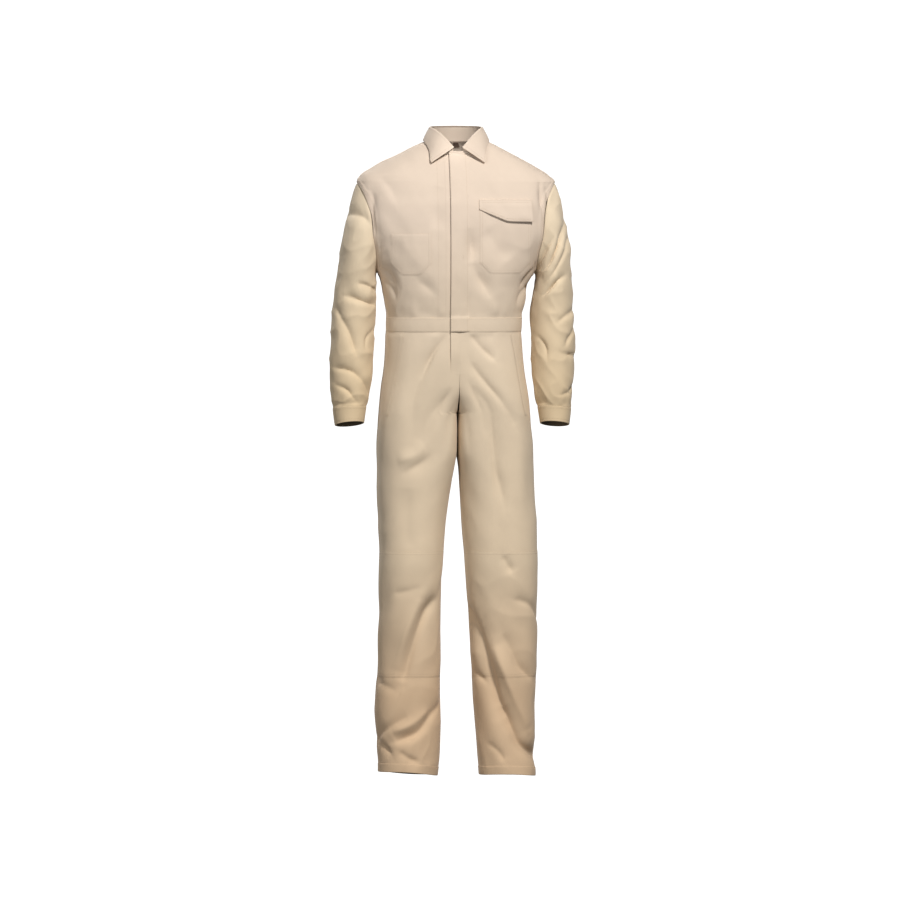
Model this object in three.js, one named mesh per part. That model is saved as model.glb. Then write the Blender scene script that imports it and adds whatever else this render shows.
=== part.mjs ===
// Boiler suit in cotton twill, in its worn shape with no wearer inside.
// Millimetres, +Z up. The front faces -Y and the wearer's left is +X. The origin is on the
// body's middle line, level with the neck end of the shoulders, where a wearer holds the suit up.

import * as THREE from "three";

// Cloth
const CLOTH = 1.6;
const DOUBLE = 2.0;
const SEAM_GAP = 0.3;
const BAND_GAP = 0.5;
const LAY_GAP = 0.8;

// Levels of the main seams
const NECK_LEVEL = 26;
const SHOULDER_POINT = -72;
const ARMPIT = -288;
const WAIST_TOP = -398;
const WAIST_BOTTOM = -430;
const FLY_END = -533;
const CROTCH = -607;

// Closure, pockets and patches
const PLACKET_HALF = 22;
const PATCH_STEP = { welt: 24, knee: 33.67, left: 20, flap: 8, right: 18 };
const FLAP_TOP = -115;
const FLAP_SPRING = { gap: 0.7, each: 0.15 };
const LEFT_POCKET = { top: -128, bottom: -290, corner: 24 };
const RIGHT_POCKET = { top: -197, bottom: -295, corner: 26 };
const SLANT = { top: -437, bottom: -631, topX: 128, bottomX: 164, width: 13 };
const KNEE = { top: -955, bottom: -1258 };
const LABEL = { top: 24, bottom: 11, half: 8, off: 6, thick: 1.0 };

// Armhole, as an oval seen from the side
const ARMHOLE = {
  level: (SHOULDER_POINT + ARMPIT) / 2,
  half: (SHOULDER_POINT - ARMPIT) / 2,
  front: 73,
  back: 76,
};
const ARMHOLE_STEPS = 12;

// Chest and waist rings. right and left are half widths, front and back are depths from the
// middle, drop is how far the ring dips at the centre front, square under 1 is a boxier ring.
const TORSO = [
  { z: 26, right: 72, left: 72, front: 61, back: 60, drop: 34, square: 0.98 },
  { z: 18, right: 90, left: 90, front: 65, back: 67, drop: 31, square: 0.96 },
  { z: 0, right: 128, left: 125, front: 73, back: 79, drop: 25, square: 0.94 },
  { z: -19, right: 166, left: 161, front: 81, back: 88, drop: 18, square: 0.92 },
  { z: -38, right: 201, left: 194, front: 89, back: 96, drop: 10, square: 0.89 },
  { z: -58, right: 231, left: 224, front: 96, back: 102, drop: 3, square: 0.86 },
  { z: -72, right: 238, left: 237, front: 101, back: 107, drop: 0, square: 0.84 },
  { z: -100, right: 237, left: 236, front: 110, back: 115, drop: 0, square: 0.82 },
  { z: -130, right: 236, left: 235, front: 119, back: 121, drop: 0, square: 0.8 },
  { z: -190, right: 228, left: 228, front: 127, back: 125, drop: 0, square: 0.8 },
  { z: -250, right: 203, left: 202, front: 130, back: 123, drop: 0, square: 0.8 },
  { z: -288, right: 188, left: 187, front: 130, back: 119, drop: 0, square: 0.81 },
  { z: -326, right: 178, left: 169, front: 127, back: 114, drop: 0, square: 0.82 },
  { z: -365, right: 172, left: 165, front: 121, back: 109, drop: 0, square: 0.84 },
  { z: -398, right: 167, left: 158, front: 117, back: 106, drop: 0, square: 0.85 },
  { z: -430, right: 168, left: 156, front: 116, back: 107, drop: 0, square: 0.85 },
];

// Leg rings. out and in are the outer and inner edges from the middle line. in is below 0 where
// the ring runs past the middle and is cut there by the rise seam. y moves the ring back.
const LEGS = [
  { z: -430, outRight: 168, inRight: -168, outLeft: 156, inLeft: -156, front: 116, back: 107, y: 0, square: 0.85 },
  { z: -480, outRight: 170, inRight: -128, outLeft: 159, inLeft: -122, front: 117, back: 115, y: 0, square: 0.85 },
  { z: -518, outRight: 173, inRight: -98, outLeft: 163, inLeft: -94, front: 116, back: 122, y: 0, square: 0.85 },
  { z: -557, outRight: 178, inRight: -66, outLeft: 169, inLeft: -64, front: 114, back: 126, y: 0, square: 0.86 },
  { z: -580, outRight: 181, inRight: -38, outLeft: 173, inLeft: -37, front: 111, back: 127, y: 0, square: 0.86 },
  { z: -596, outRight: 182, inRight: -14, outLeft: 175, inLeft: -14, front: 109, back: 126, y: 0, square: 0.87 },
  { z: -607, outRight: 183, inRight: 0.4, outLeft: 176, inLeft: 0.4, front: 107, back: 124, y: 0, square: 0.87 },
  { z: -650, outRight: 187, inRight: 1.6, outLeft: 178, inLeft: 1.6, front: 103, back: 117, y: 0, square: 0.88 },
  { z: -715, outRight: 191, inRight: 2.6, outLeft: 184, inLeft: 2.6, front: 99, back: 110, y: 0, square: 0.9 },
  { z: -758, outRight: 190, inRight: 7, outLeft: 185, inLeft: 7, front: 97, back: 106, y: -1, square: 0.9 },
  { z: -826, outRight: 190, inRight: 17, outLeft: 188, inLeft: 10, front: 94, back: 100, y: -2, square: 0.92 },
  { z: -893, outRight: 187, inRight: 26, outLeft: 193, inLeft: 14, front: 91, back: 95, y: -4, square: 0.92 },
  { z: -960, outRight: 185, inRight: 31, outLeft: 194, inLeft: 19, front: 89, back: 90, y: -5, square: 0.92 },
  { z: -1027, outRight: 185, inRight: 36, outLeft: 194, inLeft: 24, front: 86, back: 86, y: -4, square: 0.92 },
  { z: -1094, outRight: 183, inRight: 38, outLeft: 193, inLeft: 29, front: 83, back: 84, y: 0, square: 0.93 },
  { z: -1162, outRight: 187, inRight: 38, outLeft: 194, inLeft: 34, front: 80, back: 83, y: 4, square: 0.94 },
  { z: -1229, outRight: 188, inRight: 38, outLeft: 192, inLeft: 38, front: 78, back: 81, y: 6, square: 0.94 },
  { z: -1296, outRight: 193, inRight: 38, outLeft: 190, inLeft: 41, front: 77, back: 79, y: 7, square: 0.95 },
  { z: -1363, outRight: 194, inRight: 37, outLeft: 190, inLeft: 46, front: 75, back: 77, y: 7, square: 0.96 },
  { z: -1430, outRight: 192, inRight: 38, outLeft: 190, inLeft: 52, front: 74, back: 76, y: 6, square: 0.97 },
  { z: -1500, outRight: 188, inRight: 44, outLeft: 192, inLeft: 57, front: 73, back: 75, y: 5, square: 0.98 },
];

// Hem of each leg: level at the outer edge, at the inner edge, and how much lower the back hangs.
const HEM = { right: { outer: -1487, inner: -1497, back: 6 }, left: { outer: -1498, inner: -1495, back: 5 } };
const HEM_LEVEL = -1500;
const HEM_START = -1380;

// Sleeve rings, from the armhole to the cuff. outX, outZ is the outer edge and inX, inZ the edge
// next to the body. swing moves both sleeves towards the wearer's right.
const SLEEVES = [
  { row: 0, outX: 238, outZ: -72, inX: 188, inZ: -288, front: 73, back: 76, y: 0, swing: 0 },
  { row: 1, outX: 246.5, outZ: -93, inX: 190.5, inZ: -291, front: 76, back: 79, y: 0, swing: 0 },
  { row: 2, outX: 254, outZ: -122, inX: 192, inZ: -296, front: 78, back: 81, y: 0, swing: 0 },
  { row: 3, outX: 265, outZ: -165, inX: 192, inZ: -304, front: 79, back: 82, y: 0, swing: 0.5 },
  { row: 4, outX: 275, outZ: -210, inX: 191, inZ: -315, front: 79, back: 81, y: 0, swing: 1.5 },
  { row: 5, outX: 280, outZ: -262, inX: 190, inZ: -332, front: 77, back: 78, y: 0, swing: 3 },
  { row: 6, outX: 284, outZ: -316, inX: 187, inZ: -355, front: 74, back: 74, y: -1, swing: 5 },
  { row: 7, outX: 289, outZ: -366, inX: 186, inZ: -387, front: 71, back: 71, y: -3, swing: 6.5 },
  { row: 8, outX: 293, outZ: -415, inX: 188, inZ: -425, front: 69, back: 68, y: -6, swing: 8 },
  { row: 9, outX: 295, outZ: -462, inX: 189, inZ: -466, front: 67, back: 65, y: -10, swing: 9 },
  { row: 10, outX: 295, outZ: -508, inX: 191, inZ: -508, front: 64, back: 62, y: -15, swing: 10 },
  { row: 11, outX: 293, outZ: -551, inX: 194, inZ: -549, front: 60, back: 57, y: -21, swing: 11 },
  { row: 12, outX: 290, outZ: -588, inX: 200, inZ: -585, front: 54, back: 51, y: -27, swing: 12 },
  { row: 13, outX: 286, outZ: -614, inX: 206, inZ: -610, front: 46, back: 45, y: -31, swing: 12 },
  { row: 14, outX: 284, outZ: -633, inX: 209, inZ: -629, front: 44, back: 43, y: -33, swing: 12 },
  { row: 15, outX: 281, outZ: -654, inX: 212, inZ: -649, front: 43, back: 42, y: -35, swing: 12 },
];
const CUFF_ROW = 13;
const ARMHOLE_ROWS = 3;
const ARMHOLE_INSET = CLOTH / 4 + SEAM_GAP;
const SEAM_ROW = 0.008;
const CUFF_TILT = 5;

// Collar fold line and outer edge, by angle round the neck from the centre front. top is the
// fold's height, level and turn place the outer edge on the shoulders.
const COLLAR = [
  { angle: 0, top: 3, level: -17, turn: 19 },
  { angle: 12, top: 14, level: -11, turn: 24 },
  { angle: 26, top: 31, level: 5, turn: 33 },
  { angle: 45, top: 47, level: 17, turn: 47 },
  { angle: 65, top: 56, level: 22, turn: 66 },
  { angle: 90, top: 60, level: 23.5, turn: 90 },
  { angle: 135, top: 63, level: 20, turn: 134 },
  { angle: 180, top: 64, level: 17, turn: 180 },
];
const COLLAR_TOP = { half: 62, front: 66, back: 56 };
const COLLAR_ROLL = 4;
const COLLAR_LIFT = 4.8;
const COLLAR_BULGE = 2.5;
const STAND_RISE = 0.5;
const COLLAR_START = 3;

// Largest folds. Each runs from (x1, z1) to (x2, z2) on the part named, half is half its width,
// depth is below 0 for a trough and above 0 for a ridge.
const FOLDS = [
  { part: "legRight", face: "front", x1: -53, z1: -1073, x2: -81, z2: -1116, half: 16, depth: -6 },
  { part: "legRight", face: "front", x1: -81, z1: -1116, x2: -113, z2: -1195, half: 18, depth: -7 },
  { part: "legRight", face: "front", x1: -113, z1: -1195, x2: -134, z2: -1272, half: 16, depth: -5 },
  { part: "legRight", face: "front", x1: -91, z1: -1062, x2: -150, z2: -1241, half: 16, depth: 4 },
  { part: "legRight", face: "front", x1: -56, z1: -1342, x2: -96, z2: -1392, half: 15, depth: -4 },
  { part: "legRight", face: "front", x1: -96, z1: -1392, x2: -150, z2: -1418, half: 15, depth: -4 },
  { part: "legRight", face: "front", x1: -129, z1: -763, x2: -69, z2: -727, half: 16, depth: -4 },
  { part: "legLeft", face: "front", x1: 31, z1: -1099, x2: 65, z2: -1198, half: 18, depth: -7 },
  { part: "legLeft", face: "front", x1: 65, z1: -1198, x2: 99, z2: -1315, half: 20, depth: -8 },
  { part: "legLeft", face: "front", x1: 99, z1: -1315, x2: 135, z2: -1385, half: 18, depth: -7 },
  { part: "legLeft", face: "front", x1: 135, z1: -1385, x2: 168, z2: -1440, half: 16, depth: -5 },
  { part: "legLeft", face: "front", x1: 84, z1: -1180, x2: 135, z2: -1315, half: 15, depth: 5 },
  { part: "legRight", face: "front", x1: -38, z1: -436, x2: -86, z2: -516, half: 18, depth: -4 },
  { part: "legRight", face: "front", x1: -86, z1: -516, x2: -114, z2: -624, half: 18, depth: -4 },
  { part: "legLeft", face: "front", x1: 32, z1: -516, x2: 101, z2: -598, half: 18, depth: -4 },
  { part: "legLeft", face: "front", x1: 101, z1: -598, x2: 128, z2: -658, half: 18, depth: -4 },
  { part: "legRight", face: "back", x1: -40, z1: -1010, x2: -140, z2: -985, half: 17, depth: -6 },
  { part: "legRight", face: "back", x1: -150, z1: -1090, x2: -90, z2: -1180, half: 17, depth: -6 },
  { part: "legRight", face: "back", x1: -60, z1: -1290, x2: -130, z2: -1390, half: 17, depth: -5 },
  { part: "legLeft", face: "back", x1: 44, z1: -1030, x2: 140, z2: -1000, half: 17, depth: -6 },
  { part: "legLeft", face: "back", x1: 150, z1: -1110, x2: 92, z2: -1215, half: 18, depth: -6 },
  { part: "legLeft", face: "back", x1: 76, z1: -1320, x2: 150, z2: -1410, half: 16, depth: -5 },
  { part: "legRight", face: "back", x1: -30, z1: -655, x2: -120, z2: -712, half: 18, depth: -3 },
  { part: "legLeft", face: "back", x1: 30, z1: -662, x2: 120, z2: -724, half: 18, depth: -3 },
  { part: "torso", face: "front", x1: 30, z1: -187, x2: 34, z2: -269, half: 16, depth: -4 },
  { part: "torso", face: "front", x1: 34, z1: -269, x2: 76, z2: -348, half: 16, depth: -4 },
  { part: "torso", face: "front", x1: -165, z1: -75, x2: -140, z2: -140, half: 16, depth: -4 },
  { part: "torso", face: "back", x1: -150, z1: -150, x2: -110, z2: -300, half: 20, depth: -6 },
  { part: "torso", face: "back", x1: 150, z1: -160, x2: 112, z2: -305, half: 20, depth: -6 },
  { part: "torso", face: "back", x1: -60, z1: -350, x2: 70, z2: -362, half: 17, depth: -5 },
  { part: "sleeveRight", face: "front", x1: -250, z1: -353, x2: -200, z2: -365, half: 15, depth: -5 },
  { part: "sleeveRight", face: "front", x1: -280, z1: -374, x2: -235, z2: -490, half: 15, depth: -4 },
  { part: "sleeveRight", face: "front", x1: -280, z1: -521, x2: -215, z2: -560, half: 15, depth: -4 },
  { part: "sleeveLeft", face: "front", x1: 262, z1: -170, x2: 222, z2: -285, half: 15, depth: -5 },
  { part: "sleeveLeft", face: "front", x1: 252, z1: -305, x2: 210, z2: -342, half: 15, depth: -5 },
  { part: "sleeveLeft", face: "front", x1: 275, z1: -386, x2: 240, z2: -420, half: 15, depth: -4 },
  { part: "sleeveLeft", face: "front", x1: 200, z1: -500, x2: 262, z2: -530, half: 15, depth: -4 },
  { part: "sleeveRight", face: "back", x1: -225, z1: -400, x2: -275, z2: -430, half: 16, depth: -6 },
  { part: "sleeveLeft", face: "back", x1: 210, z1: -395, x2: 262, z2: -428, half: 16, depth: -6 },
  { part: "sleeveRight", face: "back", x1: -215, z1: -210, x2: -245, z2: -330, half: 16, depth: -5 },
  { part: "sleeveLeft", face: "back", x1: 213, z1: -215, x2: 240, z2: -335, half: 16, depth: -5 },
];

const COLOURS = { body: 0xc3ad8b, sleeve: 0xc0a67c, trim: 0xbba582, label: 0x4a4038 };

const RIGHT = -1;
const LEFT = 1;
const QUARTER = Math.PI / 2;
const radians = THREE.MathUtils.degToRad;

// A smooth curve through one column of a table, which never swings past its rows.
function column(table, name, by) {
  const rows = [...table].sort((first, second) => first[by] - second[by]);
  const at = rows.map((row) => row[by]);
  const value = rows.map((row) => row[name]);
  const rise = at.slice(1).map((next, i) => (value[i + 1] - value[i]) / (next - at[i]));
  const slope = at.map((_, i) => {
    const before = rise[Math.max(i - 1, 0)];
    const after = rise[Math.min(i, rise.length - 1)];
    return before * after <= 0 ? 0 : (2 * before * after) / (before + after);
  });
  return (where) => {
    const last = at.length - 1;
    const x = Math.min(Math.max(where, at[0]), at[last]);
    let i = 0;
    while (i < last - 1 && x > at[i + 1]) i += 1;
    const span = at[i + 1] - at[i];
    const t = (x - at[i]) / span;
    const bend = t * t * (3 - 2 * t);
    const first = t * (1 - t) * (1 - t) * slope[i] * span;
    const second = t * t * (t - 1) * slope[i + 1] * span;
    return value[i] + bend * (value[i + 1] - value[i]) + first + second;
  };
}

// All columns of a table as curves, by name.
function curves(table, by) {
  const names = Object.keys(table[0]).filter((name) => name !== by);
  return Object.fromEntries(names.map((name) => [name, column(table, name, by)]));
}

const torsoRing = curves(TORSO, "z");
const legRing = curves(LEGS, "z");
const sleeveRing = curves(SLEEVES, "row");
const collarRing = curves(COLLAR, "angle");

// A power that keeps the sign, for rings squarer than an ellipse.
function power(value, exponent) {
  return Math.sign(value) * Math.pow(Math.abs(value), exponent);
}

// The angle at which a ring reaches a share of its half width.
function angleAt(share, square) {
  const held = THREE.MathUtils.clamp(share, -1, 1);
  return Math.asin(power(held, 1 / square));
}

function blend(from, to, at) {
  const t = THREE.MathUtils.clamp((at - from) / (to - from), 0, 1);
  return t * t * (3 - 2 * t);
}

// How far the cloth stands in or out at a place, from the table of folds.
function foldDepth(part, face, x, z) {
  let depth = 0;
  for (const fold of FOLDS) {
    if (fold.part !== part || fold.face !== face) continue;
    const runX = fold.x2 - fold.x1;
    const runZ = fold.z2 - fold.z1;
    const t = ((x - fold.x1) * runX + (z - fold.z1) * runZ) / (runX * runX + runZ * runZ);
    const near = THREE.MathUtils.clamp(t, 0, 1);
    const off = Math.hypot(x - fold.x1 - near * runX, z - fold.z1 - near * runZ) / fold.half;
    depth += fold.depth * Math.exp(-off * off);
  }
  return depth;
}

// Chest and waist surface. angle is 0 at the centre front, a quarter turn at the side.
function torsoPoint(side, angle, level) {
  const half = side === RIGHT ? torsoRing.right(level) : torsoRing.left(level);
  const ahead = Math.cos(angle);
  const depth = ahead > 0 ? torsoRing.front(level) : torsoRing.back(level);
  const square = torsoRing.square(level);
  const dip = ahead > 0 ? torsoRing.drop(level) * ahead * ahead : 0;
  const x = side * half * power(Math.sin(angle), square);
  return new THREE.Vector3(x, -depth * power(ahead, square), level - dip);
}

// Leg surface, with the ring cut off at the middle line above the crotch.
function legShape(side, level) {
  const name = side === RIGHT ? "Right" : "Left";
  const outer = legRing["out" + name](level);
  const inner = legRing["in" + name](level);
  return { middle: (outer + inner) / 2, half: (outer - inner) / 2, square: legRing.square(level) };
}

function legStart(side, level) {
  const ring = legShape(side, level);
  const edge = Math.max(SEAM_GAP / 2 - ring.middle, -ring.half);
  return angleAt(edge / ring.half, ring.square);
}

function legPoint(side, angle, level) {
  const ring = legShape(side, level);
  const ahead = Math.cos(angle);
  const depth = ahead > 0 ? legRing.front(level) : legRing.back(level);
  const across = power(Math.sin(angle), ring.square);
  const hem = side === RIGHT ? HEM.right : HEM.left;
  const edge = hem.inner + ((1 + across) / 2) * (hem.outer - hem.inner);
  const hang = ahead * Math.abs(ahead) * hem.back;
  const z = level + blend(HEM_START, HEM_LEVEL, level) * (edge + hang - HEM_LEVEL);
  const y = legRing.y(level) - depth * power(ahead, ring.square);
  return new THREE.Vector3(side * (ring.middle + ring.half * across), y, z);
}

// The armhole's edge on the body. turn is 0 at the shoulder point and half a turn at the armpit.
function armholeAngle(level, face) {
  const rise = THREE.MathUtils.clamp((level - ARMHOLE.level) / ARMHOLE.half, -1, 1);
  const reach = ARMHOLE[face] * Math.sqrt(1 - rise * rise);
  const depth = face === "front" ? torsoRing.front(level) : torsoRing.back(level);
  return QUARTER - angleAt(reach / depth, torsoRing.square(level));
}

function armholePoint(side, turn) {
  const level = ARMHOLE.level + ARMHOLE.half * Math.cos(turn);
  const face = Math.sin(turn) >= 0 ? "front" : "back";
  const angle = armholeAngle(level, face);
  return torsoPoint(side, face === "front" ? angle : Math.PI - angle, level);
}

// Sleeve surface. Its rings swing from the armhole's slant to level, and the first one is the
// armhole itself, drawn in by the seam gap.
function sleeveRingPoint(side, turn, row) {
  const outer = new THREE.Vector2(sleeveRing.outX(row), sleeveRing.outZ(row));
  const inner = new THREE.Vector2(sleeveRing.inX(row), sleeveRing.inZ(row));
  const ahead = Math.sin(turn);
  const depth = ahead > 0 ? sleeveRing.front(row) : sleeveRing.back(row);
  const share = (1 + Math.cos(turn)) / 2;
  const x = side * (inner.x + share * (outer.x - inner.x)) - sleeveRing.swing(row);
  const z = inner.y + share * (outer.y - inner.y);
  const tilt = blend(10, 15, row) * CUFF_TILT * ahead;
  return new THREE.Vector3(x, sleeveRing.y(row) - depth * ahead, z + tilt);
}

function sleevePoint(side, turn, row) {
  const point = sleeveRingPoint(side, turn, row);
  const fade = 1 - blend(0, ARMHOLE_ROWS, row);
  if (fade > 0) {
    const middle = armholePoint(side, 0).add(armholePoint(side, Math.PI)).multiplyScalar(0.5);
    const edge = armholePoint(side, turn).lerp(middle, ARMHOLE_INSET / ARMHOLE.half);
    point.addScaledVector(edge.sub(sleeveRingPoint(side, turn, 0)), fade);
  }
  return point;
}

// A grid of points on a surface, with the outward direction at each.
// place(u, v) gives a point, out(point) gives a rough outward direction.
function grid(places, rows, columns, place, out) {
  const turnStep = 0.002;
  const levelStep = 0.5;
  const points = [];
  const normals = [];
  for (let r = 0; r < rows; r += 1) {
    points.push([]);
    normals.push([]);
    for (let c = 0; c < columns; c += 1) {
      const [u, v] = places(r, c);
      const point = place(u, v);
      const alongU = place(u + turnStep, v).sub(place(u - turnStep, v));
      const alongV = place(u, v + levelStep).sub(place(u, v - levelStep));
      const normal = alongU.cross(alongV).normalize();
      if (normal.dot(out(point)) < 0) normal.negate();
      points[r].push(point);
      normals[r].push(normal);
    }
  }
  return { points, normals };
}

// Moves a grid's points by the folds. fade(u) takes the folds to nothing at the side seams.
function fold(panel, part, face, fade) {
  panel.points.forEach((row, r) =>
    row.forEach((point, c) => {
      const depth = foldDepth(part, face, point.x, point.z) * fade(r, c);
      point.addScaledVector(panel.normals[r][c], depth);
    }),
  );
  return panel;
}

// A closed wall: its outer face goes through the grid, moved out by lift, and its inner face
// lies one thickness inside. A tube closes on itself along its rows.
function wall(name, panel, thickness, colour, { lift = 0, tube = false } = {}) {
  const rows = panel.points.length;
  const columns = panel.points[0].length;
  const positions = [];
  const faces = [];
  for (const inside of [0, 1]) {
    for (let r = 0; r < rows; r += 1) {
      for (let c = 0; c < columns; c += 1) {
        const gap = typeof lift === "function" ? lift(r, c) : lift;
        const up = (lift === 0 ? 0 : gap + thickness) - inside * thickness;
        const point = panel.points[r][c].clone().addScaledVector(panel.normals[r][c], up);
        positions.push(point.x, point.y, point.z);
      }
    }
  }
  const at = (inside, r, c) => inside * rows * columns + r * columns + (c % columns);
  const quad = (a, b, c, d) => faces.push(a, b, c, a, c, d);
  const across = tube ? columns : columns - 1;
  for (let r = 0; r < rows - 1; r += 1) {
    for (let c = 0; c < across; c += 1) {
      quad(at(0, r, c), at(0, r, c + 1), at(0, r + 1, c + 1), at(0, r + 1, c));
      quad(at(1, r, c), at(1, r + 1, c), at(1, r + 1, c + 1), at(1, r, c + 1));
    }
  }
  for (let c = 0; c < across; c += 1) {
    quad(at(0, 0, c), at(1, 0, c), at(1, 0, c + 1), at(0, 0, c + 1));
    quad(at(0, rows - 1, c), at(0, rows - 1, c + 1), at(1, rows - 1, c + 1), at(1, rows - 1, c));
  }
  if (!tube) {
    const end = columns - 1;
    for (let r = 0; r < rows - 1; r += 1) {
      quad(at(0, r, 0), at(0, r + 1, 0), at(1, r + 1, 0), at(1, r, 0));
      quad(at(0, r, end), at(1, r, end), at(1, r + 1, end), at(0, r + 1, end));
    }
  }
  const geometry = new THREE.BufferGeometry();
  geometry.setAttribute("position", new THREE.Float32BufferAttribute(positions, 3));
  geometry.setIndex(facingOut(positions, faces));
  geometry.computeVertexNormals();
  const material = new THREE.MeshStandardMaterial({ color: colour, roughness: 0.9, metalness: 0 });
  const mesh = new THREE.Mesh(geometry, material);
  mesh.name = name;
  return mesh;
}

// Turns all faces round where the wall came out inside out.
function facingOut(positions, faces) {
  let volume = 0;
  const corner = (i) => new THREE.Vector3().fromArray(positions, 3 * i);
  for (let i = 0; i < faces.length; i += 3) {
    volume += corner(faces[i]).dot(corner(faces[i + 1]).cross(corner(faces[i + 2])));
  }
  if (volume > 0) return faces;
  const turned = [];
  for (let i = 0; i < faces.length; i += 3) turned.push(faces[i], faces[i + 2], faces[i + 1]);
  return turned;
}

// A run of levels from one to another, in equal steps of about the size given.
function levels(from, to, step) {
  const count = Math.max(1, Math.round(Math.abs(to - from) / step));
  return Array.from({ length: count + 1 }, (_, i) => from + ((to - from) * i) / count);
}

// The panel's rows and columns
const SIDE_INSET = SEAM_GAP / 2;
const armholeLevels = Array.from(
  { length: ARMHOLE_STEPS + 1 },
  (_, i) => ARMHOLE.level + ARMHOLE.half * Math.cos((Math.PI * i) / ARMHOLE_STEPS),
);
const shoulderLevels = [26, 14, -4, -22, -40, -57];
const torsoLevels = [
  ...shoulderLevels,
  ...armholeLevels,
  ...levels(ARMPIT, WAIST_TOP + BAND_GAP / 2, 22).slice(1),
];
const waistLevels = [WAIST_TOP - BAND_GAP / 2, WAIST_BOTTOM + BAND_GAP / 2];
const legLevels = [
  WAIST_BOTTOM - BAND_GAP / 2,
  ...levels(WAIST_BOTTOM, FLY_END, 26).slice(1),
  ...levels(FLY_END, -596, 22).slice(1),
  ...levels(-596, -618, 11).slice(1),
  ...levels(-618, KNEE.top, 38).slice(1),
  ...levels(KNEE.top, KNEE.bottom, 33).slice(1),
  ...levels(KNEE.bottom, HEM_LEVEL, 35).slice(1),
];

// Share by which the columns of a front draw together at the waist, and where the last one
// stops short of the armhole.
const WAIST_DRAW = 0.15;
const DRAW_START = -300;
const LAST_SHARE = 0.93;

// Folds fade to nothing towards the side seams, and over a short way below a cross seam.
const SIDE_FADE = 2.5;
const CROSS_FADE = 25;

// Columns of a front, as distances from the middle where the ring is wide.
const FRONT_COLUMNS = {
  right: [0, PLACKET_HALF, 68, 100, 132, 163],
  left: [0, PLACKET_HALF, 46, 78, 110, 142, 173],
};

function frontScale(level) {
  const narrow = level > SHOULDER_POINT ? torsoRing.right(level) / torsoRing.right(SHOULDER_POINT) : 1;
  return narrow * (1 - WAIST_DRAW * blend(DRAW_START, WAIST_TOP, level));
}

function frontAngles(side, level) {
  const half = side === RIGHT ? torsoRing.right(level) : torsoRing.left(level);
  const square = torsoRing.square(level);
  const inArmhole = level < SHOULDER_POINT && level > ARMPIT;
  const end = (inArmhole ? armholeAngle(level, "front") : QUARTER) - SIDE_INSET / half;
  const own = side === RIGHT ? FRONT_COLUMNS.right : FRONT_COLUMNS.left;
  const angles = own.map((x) => {
    const placket = x <= PLACKET_HALF && level < 0 ? 1 : frontScale(level);
    return angleAt(Math.max(x * placket, SEAM_GAP / 2) / half, square);
  });
  const last = Math.min(angles[angles.length - 1], end * LAST_SHARE);
  angles[angles.length - 1] = last;
  return [...angles, (last + end) / 2, end];
}

function backAngles(level) {
  const count = 7;
  const inArmhole = level < SHOULDER_POINT && level > ARMPIT;
  const square = torsoRing.square(level);
  const inset = SIDE_INSET / torsoRing.right(level);
  const end = (inArmhole ? armholeAngle(level, "back") : QUARTER) - inset;
  const reach = power(Math.sin(end), square);
  return Array.from({ length: count + 1 }, (_, i) => {
    if (i === count) return Math.PI - end;
    const share = Math.sin((QUARTER * i) / count) * reach;
    return Math.PI - angleAt(share, square);
  });
}

const bodyOut = (point) => new THREE.Vector3(point.x, point.y, 0);
const torsoFade = (facing, level) =>
  Math.min(1, SIDE_FADE * facing) * blend(WAIST_TOP, WAIST_TOP + CROSS_FADE, level);

function frontPanel(side, rows) {
  const places = (r, c) => [frontAngles(side, rows[r])[c], rows[r]];
  const count = frontAngles(side, WAIST_TOP).length;
  const panel = grid(places, rows.length, count, (u, v) => torsoPoint(side, u, v), bodyOut);
  panel.levels = rows;
  return fold(panel, "torso", "front", (r, c) => torsoFade(Math.cos(places(r, c)[0]), rows[r]));
}

// The back runs from the right side seam round to the left one.
function backPanel(rows) {
  const half = backAngles(WAIST_TOP).length;
  const places = (r, c) => {
    const angles = backAngles(rows[r]);
    const i = c - (half - 1);
    return i < 0 ? [angles[-i], rows[r]] : [2 * Math.PI - angles[i], rows[r]];
  };
  const place = (u, v) => (u <= Math.PI ? torsoPoint(RIGHT, u, v) : torsoPoint(LEFT, 2 * Math.PI - u, v));
  const panel = grid(places, rows.length, 2 * half - 1, place, bodyOut);
  panel.levels = rows;
  return fold(panel, "torso", "back", (r, c) => torsoFade(-Math.cos(places(r, c)[0]), rows[r]));
}

// Columns of a leg front: the rise or inseam, the fly, the slanted pocket and the side seam.
// Below the fly and the pocket these columns run on down at shares of the panel's width.
const FLY_SHARE = 0.15;
const POCKET_SHARE = 0.76;
const MOUTH_SCALE = { right: 1.02, left: 0.97 };
const SHARE_START = -618;
const SHARE_FULL = -760;

function legFrontAngles(side, level) {
  const ring = legShape(side, level);
  const start = legStart(side, level);
  const inset = SIDE_INSET / ring.half;
  const first = level < CROTCH ? -QUARTER + inset : start;
  const end = QUARTER - inset;
  const span = end - first;
  const angleOf = (x) => angleAt((x - ring.middle) / ring.half, ring.square);
  const low = blend(SHARE_START, SHARE_FULL, level);
  const fly = (1 - low) * angleOf(PLACKET_HALF) + low * (first + span * FLY_SHARE);
  const down = (level - SLANT.top) / (SLANT.bottom - SLANT.top);
  const mouth = SLANT.topX + THREE.MathUtils.clamp(down, -0.1, 1) * (SLANT.bottomX - SLANT.topX);
  const below = blend(SLANT.bottom, SLANT.bottom - 90, level);
  const mouthX = mouth * (side === RIGHT ? MOUTH_SCALE.right : MOUTH_SCALE.left);
  const pocket = (1 - below) * angleOf(mouthX) + below * (first + span * POCKET_SHARE);
  const welt = pocket + SLANT.width / Math.hypot(ring.half, legRing.front(level) * 0.6);
  const between = [1, 2].map((i) => fly + ((pocket - fly) * i) / 3);
  return [first, fly, ...between, pocket, welt, end];
}

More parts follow.
